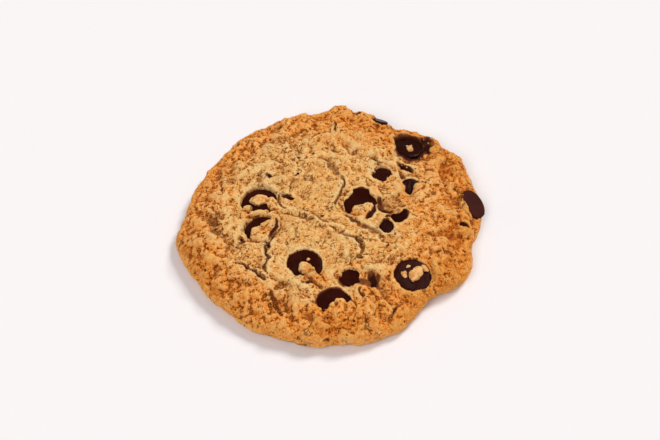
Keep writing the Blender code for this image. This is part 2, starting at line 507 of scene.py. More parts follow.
@dataclass(frozen=True)
class Swell:
    """A rounded mound, or a hollow where the height is negative. Lengths in mm, bearing in degrees."""

    x: float
    y: float
    length: float
    width: float
    bearing: float
    height: float

    def at(self, x: Array, y: Array) -> Array:
        """Height that the swell adds at each place."""
        turn = math.radians(self.bearing)
        along = (x - self.x) * math.cos(turn) + (y - self.y) * math.sin(turn)
        across = (y - self.y) * math.cos(turn) - (x - self.x) * math.sin(turn)
        return self.height * bell(along, self.length) * bell(across, self.width)


def line_distance(x: Array, y: Array, points: Sequence[tuple[float, float]]) -> tuple[Array, Array, Array]:
    """How far places lie from a bent line.

    Args:
        x: Places to the right.
        y: Places to the back.
        points: The line's corners.

    Returns:
        The distance, the side (positive to the left of the line) and the share of the way along.
    """
    lengths = [math.dist(start, end) for start, end in zip(points, points[1:])]
    total, travelled = sum(lengths), 0.0
    best = np.full_like(x, np.inf)
    side, share = np.zeros_like(x), np.zeros_like(x)
    for (start, end), length in zip(zip(points, points[1:]), lengths):
        step_x, step_y = (end[0] - start[0]) / length, (end[1] - start[1]) / length
        along = np.clip((x - start[0]) * step_x + (y - start[1]) * step_y, 0.0, length)
        gap_x, gap_y = x - start[0] - along * step_x, y - start[1] - along * step_y
        distance = np.hypot(gap_x, gap_y)
        nearer = distance < best
        best = np.where(nearer, distance, best)
        side = np.where(nearer, np.sign(step_x * gap_y - step_y * gap_x), side)
        share = np.where(nearer, (travelled + along) / total, share)
        travelled += length
    return best, side, share


@dataclass(frozen=True)
class Crease:
    """A crack or soft fold along a bent line: a cut, a lip on its left, and painted shade along its bottom (mm)."""

    points: tuple[tuple[float, float], ...]
    width: float
    depth: float
    lip: float = 0.0
    dark: float = 0.0

    def at(self, x: Array, y: Array) -> Array:
        """Height that the crease adds at each place."""
        distance, side, share = line_distance(x, y, self.points)
        taper = np.sqrt(np.clip(4.0 * share * (1.0 - share), 0.0, 1.0)) * 0.7 + 0.3
        cut = -1.2 * self.depth * taper * bell(distance, self.width)
        raised = 1.2 * self.lip * taper * bell(distance - 2.2 * self.width, 1.6 * self.width)
        return cut + np.where(side > 0.0, raised, 0.0)

    def stain_and_shade(self, x: Array, y: Array) -> Array:
        """How strongly the crease's bottom is painted with shade at each place."""
        distance, _, share = line_distance(x, y, self.points)
        taper = np.sqrt(np.clip(4.0 * share * (1.0 - share), 0.0, 1.0)) * 0.6 + 0.4
        return self.dark * taper * (1.0 - smooth_step(0.7 * self.width, 1.6 * self.width, distance))


@dataclass(frozen=True)
class Step:
    """A fault where the dough on the left of a bent line stands higher than on its right (mm)."""

    points: tuple[tuple[float, float], ...]
    height: float
    reach: float
    sharpness: float = 0.45

    def at(self, x: Array, y: Array) -> Array:
        """Height that the step adds at each place."""
        distance, side, share = line_distance(x, y, self.points)
        signed = distance * side
        fade = smooth_step(0.0, 0.16, share) * smooth_step(0.0, 0.16, 1.0 - share)
        return self.height * fade * np.tanh(signed / self.sharpness) * np.exp(-distance / self.reach)


@dataclass(frozen=True)
class Flap:
    """Dough baked over part of a chip's base: an oval in the chip's own plane (mm, degrees)."""

    chip: str
    x: float
    y: float
    length: float
    width: float
    bearing: float
    thickness: float
    ragged: float = 1.0

    def spread(self, x: Array, y: Array, bent_x: Array, bent_y: Array) -> Array:
        """Distance from the oval's middle, one on its edge, for places measured from the chip.

        Args:
            x: Place to the right of the chip's middle.
            y: Place to the back of the chip's middle.
            bent_x: How far the place is bent to the right.
            bent_y: How far the place is bent to the back.

        Returns:
            The distance as a share of the oval's reach.
        """
        turn = math.radians(self.bearing)
        off_x = x - self.x + self.ragged * bent_x
        off_y = y - self.y + self.ragged * bent_y
        along = (off_x * math.cos(turn) + off_y * math.sin(turn)) / self.length
        across = (off_y * math.cos(turn) - off_x * math.sin(turn)) / self.width
        return np.hypot(along, across)


@dataclass(frozen=True)
class Seat:
    """How one chip sits: the lean of its base from level, the bearing it leans to, and its looks."""

    name: str
    lean: float
    bearing: float
    width: float
    gloss: "Gloss"
    overlap: float = 0.35
    dish: float = 1.6
    # width of the dark ring round the chip: melted chocolate and painted shade on its pocket wall
    smear_and_shade: float = 0.12


class Gloss(Enum):
    """The three looks of the chocolate."""

    SUNK = "sunk"
    MELTED = "melted"
    DUSTY = "dusty"


SEATS = (
    Seat("chip_left_upper", 8.0, 150.0, 10.0, Gloss.SUNK, -0.10),
    Seat("chip_left_lower", 10.0, 200.0, 9.2, Gloss.SUNK, 0.15),
    Seat("chip_front_left", 8.0, 250.0, 10.0, Gloss.SUNK, 0.40),
    Seat("chip_front_middle", 16.0, 270.0, 10.2, Gloss.SUNK, 0.80),
    Seat("chip_front_small", 10.0, 250.0, 6.4, Gloss.SUNK, 0.45, 1.6, 0.8),
    Seat("chip_front_right", 12.0, 315.0, 10.4, Gloss.SUNK, 0.20),
    Seat("chip_centre", 16.0, 250.0, 9.4, Gloss.SUNK, 0.25),
    Seat("chip_centre_right", 25.0, 200.0, 5.0, Gloss.MELTED, 0.10, 1.2, 0.5),
    Seat("chip_centre_sliver", 30.0, 240.0, 4.2, Gloss.MELTED, 0.10, 1.2, 0.6),
    Seat("chip_back_middle", 10.0, 80.0, 6.0, Gloss.SUNK, 0.30),
    Seat("chip_right_upper", 12.0, 300.0, 5.4, Gloss.MELTED, 0.10),
    Seat("chip_back_right", 12.0, 45.0, 8.2, Gloss.MELTED, -0.25, 1.6, 1.5),
    Seat("chip_back_right_small", 22.0, 30.0, 4.0, Gloss.MELTED, -0.05, 1.6, 0.8),
    Seat("chip_back_edge", 40.0, 68.0, 5.4, Gloss.SUNK, -0.40, 1.8),
    Seat("chip_right_edge", 40.0, -8.0, 8.8, Gloss.DUSTY, 0.15, 1.0),
)


@dataclass
class Chip:
    """One chocolate chip, a turned drop pressed in point down."""

    seat: Seat
    height_to_width: float = 0.52
    turns: int = 56
    ripple: float = 0.10
    profile: tuple[tuple[float, float], ...] = (
        (0.00, 1.00), (0.14, 0.95), (0.34, 0.76), (0.62, 0.54), (0.86, 0.33), (0.965, 0.22), (1.00, 0.13),
        (0.985, 0.065), (0.93, 0.02), (0.86, 0.0), (0.70, -0.008), (0.50, -0.004), (0.25, 0.004), (0.00, 0.008),
    )
    placement: Matrix = field(default_factory=lambda: Matrix.Identity(4))

    def settle(self) -> None:
        """Work out the chip's placement, so that it fills the box of its solid."""
        turn, lean = math.radians(self.seat.bearing), math.radians(self.seat.lean)
        facing = Vector((math.cos(turn) * math.sin(lean), math.sin(turn) * math.sin(lean), math.cos(lean)))
        spin = (-facing).to_track_quat("Z", "Y").to_matrix().to_4x4()
        low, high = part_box(self.seat.name)
        radius, height = self.seat.width / 2.0, self.seat.width * self.height_to_width
        corners = []
        for out, up in self.profile:
            for index in range(self.turns):
                angle = 2.0 * math.pi * index / self.turns
                corners.append(spin @ Vector((out * radius * math.cos(angle), out * radius * math.sin(angle), up * height)))
        reach = np.array(corners)
        middle = Vector((reach.min(0) + reach.max(0)) / 2.0)
        self.placement = Matrix.Translation((low + high) / 2.0 - middle * MM) @ spin

    @property
    def base(self) -> Vector:
        """Middle of the chip's base, mm."""
        return self.placement.translation / MM

    @property
    def facing(self) -> Vector:
        """Direction that the base faces."""
        return -(self.placement.to_3x3() @ Vector((0.0, 0.0, 1.0)))

    def plane_height(self, x: Array, y: Array) -> Array:
        """Height of the plane of the base at each place, mm."""
        slope_x, slope_y = self.facing.x / self.facing.z, self.facing.y / self.facing.z
        return self.base.z - slope_x * (x - self.base.x) - slope_y * (y - self.base.y)

    def reach(self, x: Array, y: Array) -> Array:
        """Distance of each place from the chip's axis, measured in the plane of its base, mm."""
        rise = self.plane_height(x, y) - self.base.z
        return np.sqrt((x - self.base.x) ** 2 + (y - self.base.y) ** 2 + rise ** 2)

    def build(self, finish: bpy.types.Material) -> bpy.types.Object:
        """Make the chip's mesh and ride it on the cookie.

        Args:
            finish: The chocolate.

        Returns:
            The finished piece.
        """
        radius, height = self.seat.width / 2.0, self.seat.width * self.height_to_width
        line = self.smooth_line()
        mesh = bpy.data.meshes.new(self.seat.name + "_chocolate")
        points = [(out * radius * MM, 0.0, up * height * MM) for out, up in line]
        mesh.from_pydata(points, [(index, index + 1) for index in range(len(points) - 1)], [])
        piece = bpy.data.objects.new(self.seat.name + "_chocolate", mesh)
        bpy.context.scene.collection.objects.link(piece)
        screw = piece.modifiers.new("turn", "SCREW")
        screw.steps = screw.render_steps = self.turns
        screw.use_merge_vertices = True
        screw.merge_threshold = 0.00001
        piece = bake_modifiers(piece)
        seed = Vector((self.base.x, self.base.y, self.base.z)) * 3.7
        for vert in piece.data.vertices:
            away = vert.co.normalized() if vert.co.length > 0.0 else Vector((0.0, 0.0, 1.0))
            wobble = noise.noise(vert.co / MM * 0.32 + seed) * self.ripple * 2.0
            wobble += noise.noise(vert.co / MM * 1.1 + seed) * self.ripple * 0.6
            vert.co += away * wobble * MM
        piece.data.transform(self.placement)
        close_seams(piece.data)
        piece.data.shade_smooth()
        piece.data.materials.append(finish)
        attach(piece, BODY)
        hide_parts(self.seat.name)
        return piece

    def smooth_line(self, parts: int = 4) -> list[tuple[float, float]]:
        """The profile with points added along a smooth curve through its own."""
        line = [self.profile[0], *self.profile, self.profile[-1]]
        result = []
        for first, second, third, fourth in zip(line, line[1:], line[2:], line[3:]):
            for part in range(parts):
                share = part / parts
                result.append(tuple(
                    0.5 * (2.0 * b + (c - a) * share + (2.0 * a - 5.0 * b + 4.0 * c - d) * share ** 2
                           + (3.0 * b - a - 3.0 * c + d) * share ** 3)
                    for a, b, c, d in zip(first, second, third, fourth)))
        result.append(self.profile[-1])
        result[0] = self.profile[0]
        return [(max(out, 0.0), up) for out, up in result]


def close_seams(mesh: bpy.types.Mesh) -> None:
    """Merge doubled points and turn every face outwards."""
    bm = bmesh.new()
    bm.from_mesh(mesh)
    bmesh.ops.remove_doubles(bm, verts=bm.verts[:], dist=0.00001)
    bmesh.ops.recalc_face_normals(bm, faces=bm.faces[:])
    bm.to_mesh(mesh)
    bm.free()


def bake_modifiers(piece: bpy.types.Object) -> bpy.types.Object:
    """Turn an object with modifiers into a plain mesh of the same name."""
    bpy.context.view_layer.update()
    depsgraph = bpy.context.evaluated_depsgraph_get()
    mesh = bpy.data.meshes.new_from_object(piece.evaluated_get(depsgraph))
    piece.modifiers.clear()
    old = piece.data
    name = old.name
    piece.data = mesh
    bpy.data.meshes.remove(old)
    mesh.name = name
    return piece


@dataclass
class DoughForm:
    """The shape of the dough without its grain. All lengths in mm, bearings in degrees."""

    chips: Sequence[Chip]
    outline_radius: float = 41.7
    centre: tuple[float, float] = (-0.15, -0.05)
    crown: float = 9.1
    rim: float = 2.1
    rim_lift: float = 1.5
    foot: float = 0.90
    shoulder_power: float = 4.2
    round_power: float = 2.1
    swell_fade_power: float = 8.0
    lift_bearing: float = -38.0
    lift_width: float = 15.0
    lobes: tuple[tuple[float, float, float], ...] = (
        (29.0, 5.5, 1.7), (45.0, 5.5, 0.9), (62.0, 9.0, -2.8), (87.0, 11.0, 1.6), (97.0, 7.0, -2.4),
        (142.0, 45.0, -2.4), (193.0, 10.0, 2.0), (227.0, 45.0, 0.7), (272.0, 27.0, 0.4),
        (313.0, 12.5, -3.5), (329.0, 5.5, 0.8), (346.0, 8.5, -2.1),
        (103.5, 1.3, 0.45), (89.0, 1.6, 0.5), (80.5, 1.2, -0.9), (181.0, 2.0, -0.35),
    )
    swells: tuple[Swell, ...] = (
        Swell(6.0, 27.0, 11.0, 8.0, 0.0, 0.7),
        Swell(3.4, -13.6, 5.0, 3.0, 120.0, 0.6),
        Swell(-24.0, -20.0, 12.0, 8.0, 135.0, 0.5),
        Swell(24.0, -25.0, 12.0, 9.0, 45.0, -1.5),
        Swell(25.0, 17.0, 9.0, 15.0, 20.0, -1.1),
        Swell(-20.0, -3.0, 9.0, 12.0, 0.0, -0.5),
        Swell(11.0, 1.0, 8.0, 6.0, 30.0, -0.5),
        # pale lump in the middle and its neighbours
        Swell(-3.6, 6.4, 5.4, 4.6, 0.0, 0.45),
        Swell(-9.4, -7.6, 4.6, 3.0, -30.0, 0.35),
        Swell(-24.4, 4.4, 3.0, 5.0, 0.0, -0.5),
        # lumps of the right side
        Swell(30.5, 18.4, 2.6, 1.7, 20.0, 0.7),
        Swell(34.6, 16.6, 2.2, 1.6, -20.0, 0.8),
        Swell(37.0, 16.0, 1.7, 1.4, 0.0, 0.6),
        Swell(29.4, 27.6, 2.4, 1.4, -30.0, 0.6),
        Swell(31.0, 22.8, 1.8, 1.4, 40.0, 0.5),
        # thin wall behind the chips at the back right, and the hollow in front of it
        Swell(22.0, 29.2, 4.6, 1.0, -14.0, 1.0),
        Swell(22.4, 23.6, 4.8, 3.4, 0.0, -1.1),
        # hollow between the middle chips
        Swell(15.6, 0.8, 3.8, 2.0, -8.0, -1.7),
        Swell(12.6, -4.6, 3.0, 1.5, 60.0, -0.8),
        # crater of the front right chip
        Swell(21.6, -19.8, 6.2, 4.4, 0.0, -0.8),
        Swell(28.9, -17.2, 1.0, 1.0, 0.0, -0.9),
        Swell(28.9, -17.2, 2.0, 1.8, 0.0, 0.55),
        # round the front chips
        Swell(4.0, -25.2, 3.2, 2.4, 0.0, -0.8),
        Swell(11.0, -25.4, 1.7, 1.5, -40.0, -1.7),
        Swell(10.4, -21.4, 2.2, 0.9, 10.0, 0.6),
        Swell(1.0, -37.4, 6.0, 1.8, 0.0, 0.5),
        # left side: a ridge running in from the rim and small pits
        Swell(-34.0, -1.6, 5.4, 1.1, -50.0, 0.65),
        Swell(-15.0, -30.4, 1.1, 0.9, -70.0, -0.9),
        Swell(-24.6, -10.9, 0.7, 0.8, 0.0, -0.8),
        Swell(-17.2, 11.3, 1.0, 0.5, -10.0, -0.9),
        Swell(11.6, 18.0, 1.2, 0.8, -30.0, -1.3),
        Swell(-31.4, -10.4, 0.6, 1.2, 20.0, -0.7),
        Swell(-30.2, -14.5, 0.8, 0.7, 0.0, -0.5),
        Swell(-5.9, -36.2, 0.5, 0.9, 0.0, -0.7),
        Swell(7.0, -17.4, 0.6, 0.4, -30.0, -0.7),
        Swell(8.9, -17.1, 0.7, 0.4, 0.0, -0.6),
        # socket of the chip on the rim, the ridges below it and their pit
        Swell(35.0, 3.4, 1.3, 3.6, 0.0, -0.8),
        Swell(13.4, 34.0, 3.0, 1.6, -20.0, -1.1),
        Swell(36.4, -2.2, 5.0, 0.65, -4.0, 1.0),
        Swell(35.6, -4.9, 1.6, 1.1, -20.0, -1.3),
        Swell(35.6, -7.2, 3.6, 0.8, 4.0, 0.7),
    )
    creases: tuple[Crease, ...] = (
        Crease(((-25.3, -20.1), (-23.7, -20.3), (-20.4, -22.9), (-17.6, -25.3)), 0.32, 1.2, 0.28, 0.6),
        Crease(((-15.3, -8.4), (-16.5, -11.6), (-18.4, -14.2), (-17.2, -17.4), (-17.7, -20.9), (-17.3, -23.5)),
               0.34, 1.1, 0.22, 0.5),
        Crease(((1.0, 32.8), (1.0, 27.4)), 0.22, 0.9, 0.0, 0.6),
        Crease(((6.4, 41.0), (7.1, 36.6), (7.4, 35.4)), 0.35, 1.2, 0.2),
        Crease(((10.6, 37.2), (12.6, 36.0)), 0.35, 0.9),
        Crease(((0.5, 25.2), (4.2, 22.0), (7.1, 18.7), (10.9, 18.2), (13.0, 18.6)), 1.5, 1.0),
        Crease(((18.9, 16.6), (20.4, 15.4), (22.8, 14.4)), 0.50, 1.5, 0.35, 1.0),
        Crease(((2.7, 11.4), (3.3, 7.9), (2.1, 4.2), (0.5, 0.6)), 0.28, 0.9, 0.12, 0.5),
        Crease(((-10.8, 8.8), (-11.9, 5.5), (-11.6, 3.4)), 0.35, 0.55),
        Crease(((-31.1, 10.5), (-30.7, 3.5)), 0.35, 0.45, 0.1),
        Crease(((9.6, -4.4), (10.6, -2.9), (11.8, -0.4)), 0.62, 1.3, 0.1, 1.0),
        Crease(((1.5, -10.0), (4.0, -10.6), (6.3, -11.3), (7.9, -13.0), (8.1, -15.0), (7.4, -17.2)), 0.42, 1.0, 0.0, 0.25),
        Crease(((-16.7, -24.7), (-12.8, -25.4), (-8.6, -28.0), (-4.5, -32.8)), 0.8, 0.8),
        Crease(((-8.0, -25.9), (-5.4, -26.1)), 0.34, 1.0, 0.0, 0.9),
        # dark slits and spots, their bottoms darkened with painted shade
        Crease(((13.4, 0.3), (14.6, -0.2), (15.6, -0.7)), 0.80, 0.9, 0.0, 1.0),
        Crease(((12.6, 3.0), (13.2, 1.8), (13.8, 0.6)), 0.60, 0.4, 0.0, 0.6),
        Crease(((15.2, -4.2), (15.7, -2.9), (16.4, -2.0)), 0.55, 0.8, 0.0, 1.0),
        Crease(((9.9, -22.9), (10.6, -24.3), (11.6, -25.6)), 0.85, 0.6, 0.0, 1.0),
        Crease(((11.4, -23.4), (12.8, -24.0)), 0.80, 0.4, 0.0, 0.5),
        Crease(((6.4, -24.8), (8.0, -25.6), (9.4, -26.2)), 1.10, 0.3, 0.0, 0.45),
        Crease(((25.4, 27.0), (26.6, 26.2), (27.8, 25.4)), 1.30, 0.9, 0.0, 1.0),
        Crease(((-15.6, -4.4), (-15.2, -6.2), (-15.8, -8.6), (-17.4, -11.0)), 0.34, 0.9, 0.0, 0.9),
        Crease(((-18.7, -12.4), (-17.6, -13.0), (-17.0, -15.2)), 0.40, 0.9, 0.0, 0.7),
        Crease(((-13.6, 3.8), (-12.2, 3.2), (-11.2, 3.0)), 0.50, 0.6, 0.0, 0.8),
        Crease(((-14.9, 4.4), (-14.6, 1.0), (-13.0, -1.2)), 0.28, 0.8, 0.0, 0.7),
        Crease(((-18.1, 10.8), (-16.7, 10.5)), 0.48, 0.9, 0.0, 0.95),
        Crease(((-9.7, 17.6), (-9.0, 17.2)), 0.30, 0.6, 0.0, 0.7),
        Crease(((-2.0, 21.4), (-1.2, 21.2)), 0.30, 0.6, 0.0, 0.7),
        Crease(((-24.9, -10.4), (-24.4, -11.4), (-24.9, -12.4)), 0.40, 0.8, 0.0, 0.7),
        Crease(((11.0, 17.8), (12.2, 17.2)), 0.45, 0.9, 0.0, 0.9),
        Crease(((6.6, -18.0), (8.6, -18.2)), 0.35, 0.6, 0.0, 0.7),
        Crease(((7.2, -28.6), (7.6, -30.4)), 0.30, 0.6, 0.0, 0.7),
        Crease(((16.9, -32.2), (15.5, -34.2)), 0.40, 0.7, 0.0, 0.75),
        Crease(((35.0, -4.4), (36.6, -4.8)), 0.60, 0.9, 0.0, 0.75),
        Crease(((19.3, 13.2), (20.2, 11.4)), 0.55, 0.5, 0.0, 0.6),
        Crease(((26.4, 14.6), (28.6, 14.4)), 0.50, 0.6, 0.0, 0.45),
        Crease(((7.0, 36.8), (7.8, 38.4), (8.2, 41.0)), 0.40, 0.8, 0.0, 0.7),
        Crease(((-8.9, -32.4), (-8.0, -32.8)), 0.25, 0.8),
        Crease(((17.1, -31.9), (15.6, -33.6), (15.2, -36.8)), 0.28, 1.1, 0.1),
        Crease(((17.4, -31.6), (16.8, -32.2)), 0.5, 1.0),
        Crease(((-16.9, -28.4), (-15.4, -31.9), (-12.9, -35.4)), 0.4, 0.5, 0.35),
        Crease(((-4.0, -40.6), (4.6, -39.8), (11.1, -38.9)), 0.5, 0.4),
        Crease(((3.4, -3.2), (7.0, -6.6), (11.0, -8.8), (14.0, -11.0)), 0.5, 0.8, 0.0, 0.3),
        Crease(((-8.0, -2.0), (-2.0, -5.5), (1.5, -10.0)), 0.6, 0.4),
        Crease(((-14.0, -2.6), (-9.0, -4.2), (-4.4, -3.4)), 0.5, 0.35),
        # raised folds, with the depth below zero
        Crease(((-14.5, -0.6), (-8.0, -2.6), (-2.0, -6.2), (3.0, -8.6)), 0.9, -0.75),
        Crease(((-1.0, -8.4), (1.8, -11.0), (3.2, -14.4), (3.4, -18.6)), 0.8, -0.85),
        Crease(((-17.8, -28.0), (-16.0, -32.0), (-13.4, -35.8)), 0.6, -0.60),
        Crease(((-9.4, -30.0), (-10.2, -33.4), (-9.0, -37.0)), 0.6, -0.45),
        Crease(((-38.0, 2.8), (-34.0, -1.4), (-30.0, -6.4)), 0.8, -0.75),
        Crease(((-33.0, 18.5), (-25.0, 27.0), (-15.0, 33.0), (-7.0, 35.6)), 1.4, -0.60),
        Crease(((-28.0, 17.0), (-20.0, 24.0), (-12.0, 28.4), (-4.0, 30.0)), 1.5, 0.55),
        Crease(((-26.0, 11.0), (-20.0, 14.0), (-13.0, 15.6)), 1.2, -0.45),
        Crease(((-36.0, -12.0), (-31.0, -19.0), (-25.0, -25.0)), 1.2, -0.40),
        Crease(((-34.0, -6.6), (-29.0, -11.4), (-26.6, -17.0)), 1.0, 0.45),
        Crease(((9.6, -22.2), (13.6, -20.6), (15.6, -17.0)), 0.9, -0.40),
        Crease(((24.6, 2.0), (28.0, 5.4), (29.4, 10.0)), 0.9, 0.50),
        Crease(((26.4, -9.0), (31.0, -8.4), (35.0, -10.6)), 1.0, 0.45),
        Crease(((-6.0, 20.0), (-1.0, 17.0), (1.4, 12.0)), 1.0, 0.40),
    )
    steps: tuple[Step, ...] = (
        Step(((20.2, 3.8), (19.7, 9.6), (18.8, 16.3), (17.4, 19.3), (18.4, 21.9), (17.3, 31.0)), 1.05, 3.4),
        Step(((15.2, -38.4), (15.0, -33.0), (12.7, -28.2), (10.6, -26.4), (8.8, -22.9)), 0.85, 2.8),
        Step(((19.9, 0.4), (19.2, 2.2), (17.0, 3.1), (14.5, 3.2), (12.4, 2.8)), -0.35, 1.5, 0.35),
    )
    flaps: tuple[Flap, ...] = (
        Flap("chip_left_upper", 0.9, -0.1, 3.9, 1.4, -8.0, 1.0),
        Flap("chip_left_upper", 3.9, -2.2, 2.2, 2.2, -40.0, 1.1),
        Flap("chip_left_upper", -1.0, -5.0, 3.8, 1.5, 8.0, 1.2),
        Flap("chip_left_upper", -3.2, -2.9, 1.2, 1.0, 0.0, 0.9),
        Flap("chip_left_lower", 0.85, -0.75, 4.7, 3.1, 43.0, 1.1, 0.7),
        Flap("chip_front_left", 0.8, -1.7, 1.6, 2.5, 12.0, 1.2),
        Flap("chip_front_left", 3.2, -4.7, 4.2, 1.8, -52.0, 1.8),
        Flap("chip_front_left", 0.3, -4.9, 2.0, 1.2, 0.0, 0.9),
        Flap("chip_front_middle", 0.0, -4.9, 6.8, 5.0, 0.0, 1.0),
        Flap("chip_front_middle", -3.9, -2.3, 2.8, 2.4, 0.0, 0.9),
        Flap("chip_front_middle", 4.4, -1.8, 2.2, 2.4, 0.0, 0.9),
        Flap("chip_front_middle", 1.7, -0.9, 2.0, 2.4, 0.0, 0.9, 1.2),
        Flap("chip_front_small", 0.6, 2.9, 3.4, 1.3, 0.0, 0.7),
        Flap("chip_front_small", 3.0, 0.2, 1.2, 2.6, 15.0, 0.8, 1.6),
        Flap("chip_front_small", 2.4, -3.2, 1.8, 1.2, 35.0, 0.7, 1.6),
        Flap("chip_front_small", -3.1, 0.9, 1.2, 2.0, -25.0, 0.7, 1.6),
        Flap("chip_centre", 0.1, -3.7, 4.0, 2.6, 25.0, 1.3),
        Flap("chip_centre", -4.0, 2.7, 2.8, 1.6, 61.0, 0.7),
        Flap("chip_centre", 4.6, 2.6, 2.6, 1.5, -60.0, 0.7),
        Flap("chip_centre_right", -0.4, 1.7, 1.9, 1.1, 10.0, 0.5),
        Flap("chip_centre_right", -1.8, -2.3, 1.3, 1.1, -35.0, 0.5),
        Flap("chip_centre_sliver", -1.9, 1.6, 1.3, 0.8, 45.0, 0.5),
        Flap("chip_right_upper", 1.9, -1.7, 3.0, 1.3, 63.0, 0.9),
        Flap("chip_right_upper", -2.9, -1.2, 3.0, 1.2, -76.0, 0.8),
        Flap("chip_back_middle", 2.5, -2.2, 2.0, 1.0, 48.0, 0.5),
        Flap("chip_back_right", -4.9, 0.0, 1.4, 3.0, 0.0, 0.9),
        Flap("chip_back_right_small", 1.5, -0.4, 1.4, 2.3, 0.0, 0.7),
        Flap("chip_front_right", -2.8, 4.4, 2.6, 1.0, 30.0, 0.8),
        Flap("chip_back_edge", -2.3, 0.6, 0.8, 1.4, -30.0, 0.6),
    )
    warp: Mottle = field(default_factory=lambda: Mottle(11))
    waves: Mottle = field(default_factory=lambda: Mottle(23))

    def outline(self, bearing: Array) -> Array:
        """Reach of the rim at each bearing, with its crumbly edge."""
        reach = np.full_like(bearing, self.outline_radius)
        for centre, half_width, height in self.lobes:
            reach = reach + height * bell(bearing_offset(bearing, centre), half_width)
        turn = np.radians(bearing)
        across, back = np.cos(turn) * 41.0, np.sin(turn) * 41.0
        return reach + 0.16 * self.waves.layers(across + 300.0, back + 300.0, 3.4, 3)

    def bend(self, x: Array, y: Array) -> tuple[Array, Array]:
        """Places moved a little, which makes lines and edges ragged."""
        return (x + 0.55 * self.warp.layers(x, y, 2.6, 3),
                y + 0.55 * self.warp.layers(x + 60.0, y + 20.0, 2.6, 3))

    def rim_height(self, bearing: Array) -> Array:
        """Height of the widest line of the rim."""
        return self.rim + self.rim_lift * bell(bearing_offset(bearing, self.lift_bearing), self.lift_width)

    def dome(self, share: Array, bearing: Array) -> Array:
        """Height of the plain domed top at a share of the way out to the rim."""
        rim = self.rim_height(bearing)
        return rim + (self.crown - rim) * (1.0 - share ** self.shoulder_power) ** (1.0 / self.round_power)

    def under(self, share: Array, bearing: Array) -> Array:
        """Height of the underside."""
        out = np.clip((share - self.foot) / (1.0 - self.foot), 0.0, 1.0)
        return self.rim_height(bearing) * (1.0 - np.sqrt(1.0 - out ** 2))

    def top(self, share: Array, bearing: Array, x: Array, y: Array) -> Array:
        """Height of the top with every named feature.

        Args:
            share: Share of the way out to the rim.
            bearing: Bearing from the middle, degrees.
            x: Place to the right.
            y: Place to the back.

        Returns:
            Heights in mm.
        """
        bent_x, bent_y = self.bend(x, y)
        relief = sum(swell.at(x, y) for swell in self.swells)
        broken = 0.55 + 0.75 * smooth_step(-0.5, 0.5, self.warp.layers(x - 40.0, y + 10.0, 3.0, 2))
        relief = relief + 1.25 * broken * sum(crease.at(bent_x, bent_y) for crease in self.creases)
        relief = relief + sum(step.at(bent_x, bent_y) for step in self.steps)
        relief = relief + 0.50 * self.waves.layers(x, y, 6.5, 3)
        inward = 1.0 - share ** self.swell_fade_power
        height = self.dome(share, bearing) + relief * np.clip(inward, 0.0, 1.0)
        for chip in self.chips:
            height = self.sink_pocket(height, chip, x, y, bent_x, bent_y)
        return height

    def sink_pocket(self, height: Array, chip: Chip, x: Array, y: Array, bent_x: Array, bent_y: Array) -> Array:
        """Lower the dough where a chip sits, and lay its flaps over it.

        Args:
            height: The dough's height so far.
            chip: The chip.
            x: Place to the right.
            y: Place to the back.
            bent_x: The same, bent a little for ragged edges.
            bent_y: The same, bent a little for ragged edges.

        Returns:
            The new height.
        """
        radius = chip.seat.width / 2.0
        plane = chip.plane_height(x, y)
        away = chip.reach(x, y) - radius
        dish = 0.70 * (1.0 - smooth_step(0.0, chip.seat.dish, away))
        result = height * (1.0 - dish) + (plane + 0.30) * dish
        edge = away + chip.seat.overlap + 0.38 * self.warp.layers(x + 31.0, y + 7.0, 2.0, 4)
        inside = 1.0 - smooth_step(-0.20, 0.20, edge)
        result = result * (1.0 - inside) + np.minimum(result, plane - 1.1) * inside
        for flap in self.flaps:
            if flap.chip != chip.seat.name:
                continue
            spread = flap.spread(x - chip.base.x, y - chip.base.y, bent_x - x, bent_y - y)
            cover = 1.0 - smooth_step(0.90, 1.06, spread)
            crown = plane + flap.thickness * (0.5 + 0.5 * np.sqrt(np.clip(1.0 - spread ** 2, 0.0, 1.0)))
            result = np.where(cover > 0.0, np.maximum(result, result * (1.0 - cover) + crown * cover), result)
        return result

    def flap_share(self, x: Array, y: Array) -> Array:
        """How much each place belongs to a flap of dough over a chip, 0 to 1."""
        share, none = np.zeros_like(x), np.zeros_like(x)
        for chip in self.chips:
            for flap in self.flaps:
                if flap.chip == chip.seat.name:
                    spread = flap.spread(x - chip.base.x, y - chip.base.y, none, none)
                    share = np.maximum(share, 1.0 - smooth_step(0.8, 1.2, spread))
        return share

    def stain_and_shade(self, x: Array, y: Array, z: Array) -> Array:
        """How dark the dough is painted at each place, 0 to 1: melted chocolate round the chips with painted shade on
        the low walls of their pockets, and painted shade in the bottoms of the dark creases.
        """
        total = np.zeros_like(x)
        for chip in self.chips:
            smear_and_shade = chip.seat.smear_and_shade
            away = chip.reach(x, y) - chip.seat.width / 2.0 + 0.3 * self.warp.layers(x, y, 1.6, 2)
            low = 1.0 - smooth_step(0.05, 0.35 + 1.2 * smear_and_shade, z - chip.plane_height(x, y))
            total = np.maximum(total, (1.0 - smooth_step(smear_and_shade - 0.8, smear_and_shade + 0.1, away)) * low)
        total = 0.8 * total * (1.0 - self.flap_share(x, y))
        bent_x, bent_y = self.bend(x, y)
        for crease in self.creases:
            if crease.dark > 0.0:
                total = np.maximum(total, crease.stain_and_shade(bent_x, bent_y))
        return total

    def crag(self, share: Array, x: Array, y: Array) -> Array:
        """How craggy the crust is at each place, 0 smooth to 1 rough, and calm round the chips."""
        level = 0.20 + 0.60 * smooth_step(0.50, 0.86, share) + 0.25 * self.waves.layers(x - 80.0, y, 7.0, 2)
        for patch in CRAGGY_PATCHES:
            level = level + patch.at(x, y)
        level = np.clip(level, 0.05, 1.2)
        for chip in self.chips:
            away = chip.reach(x, y) - chip.seat.width / 2.0
            level = level * (0.35 + 0.65 * smooth_step(-0.4, 1.6, away))
        return np.maximum(level, 0.70 * self.flap_share(x, y))

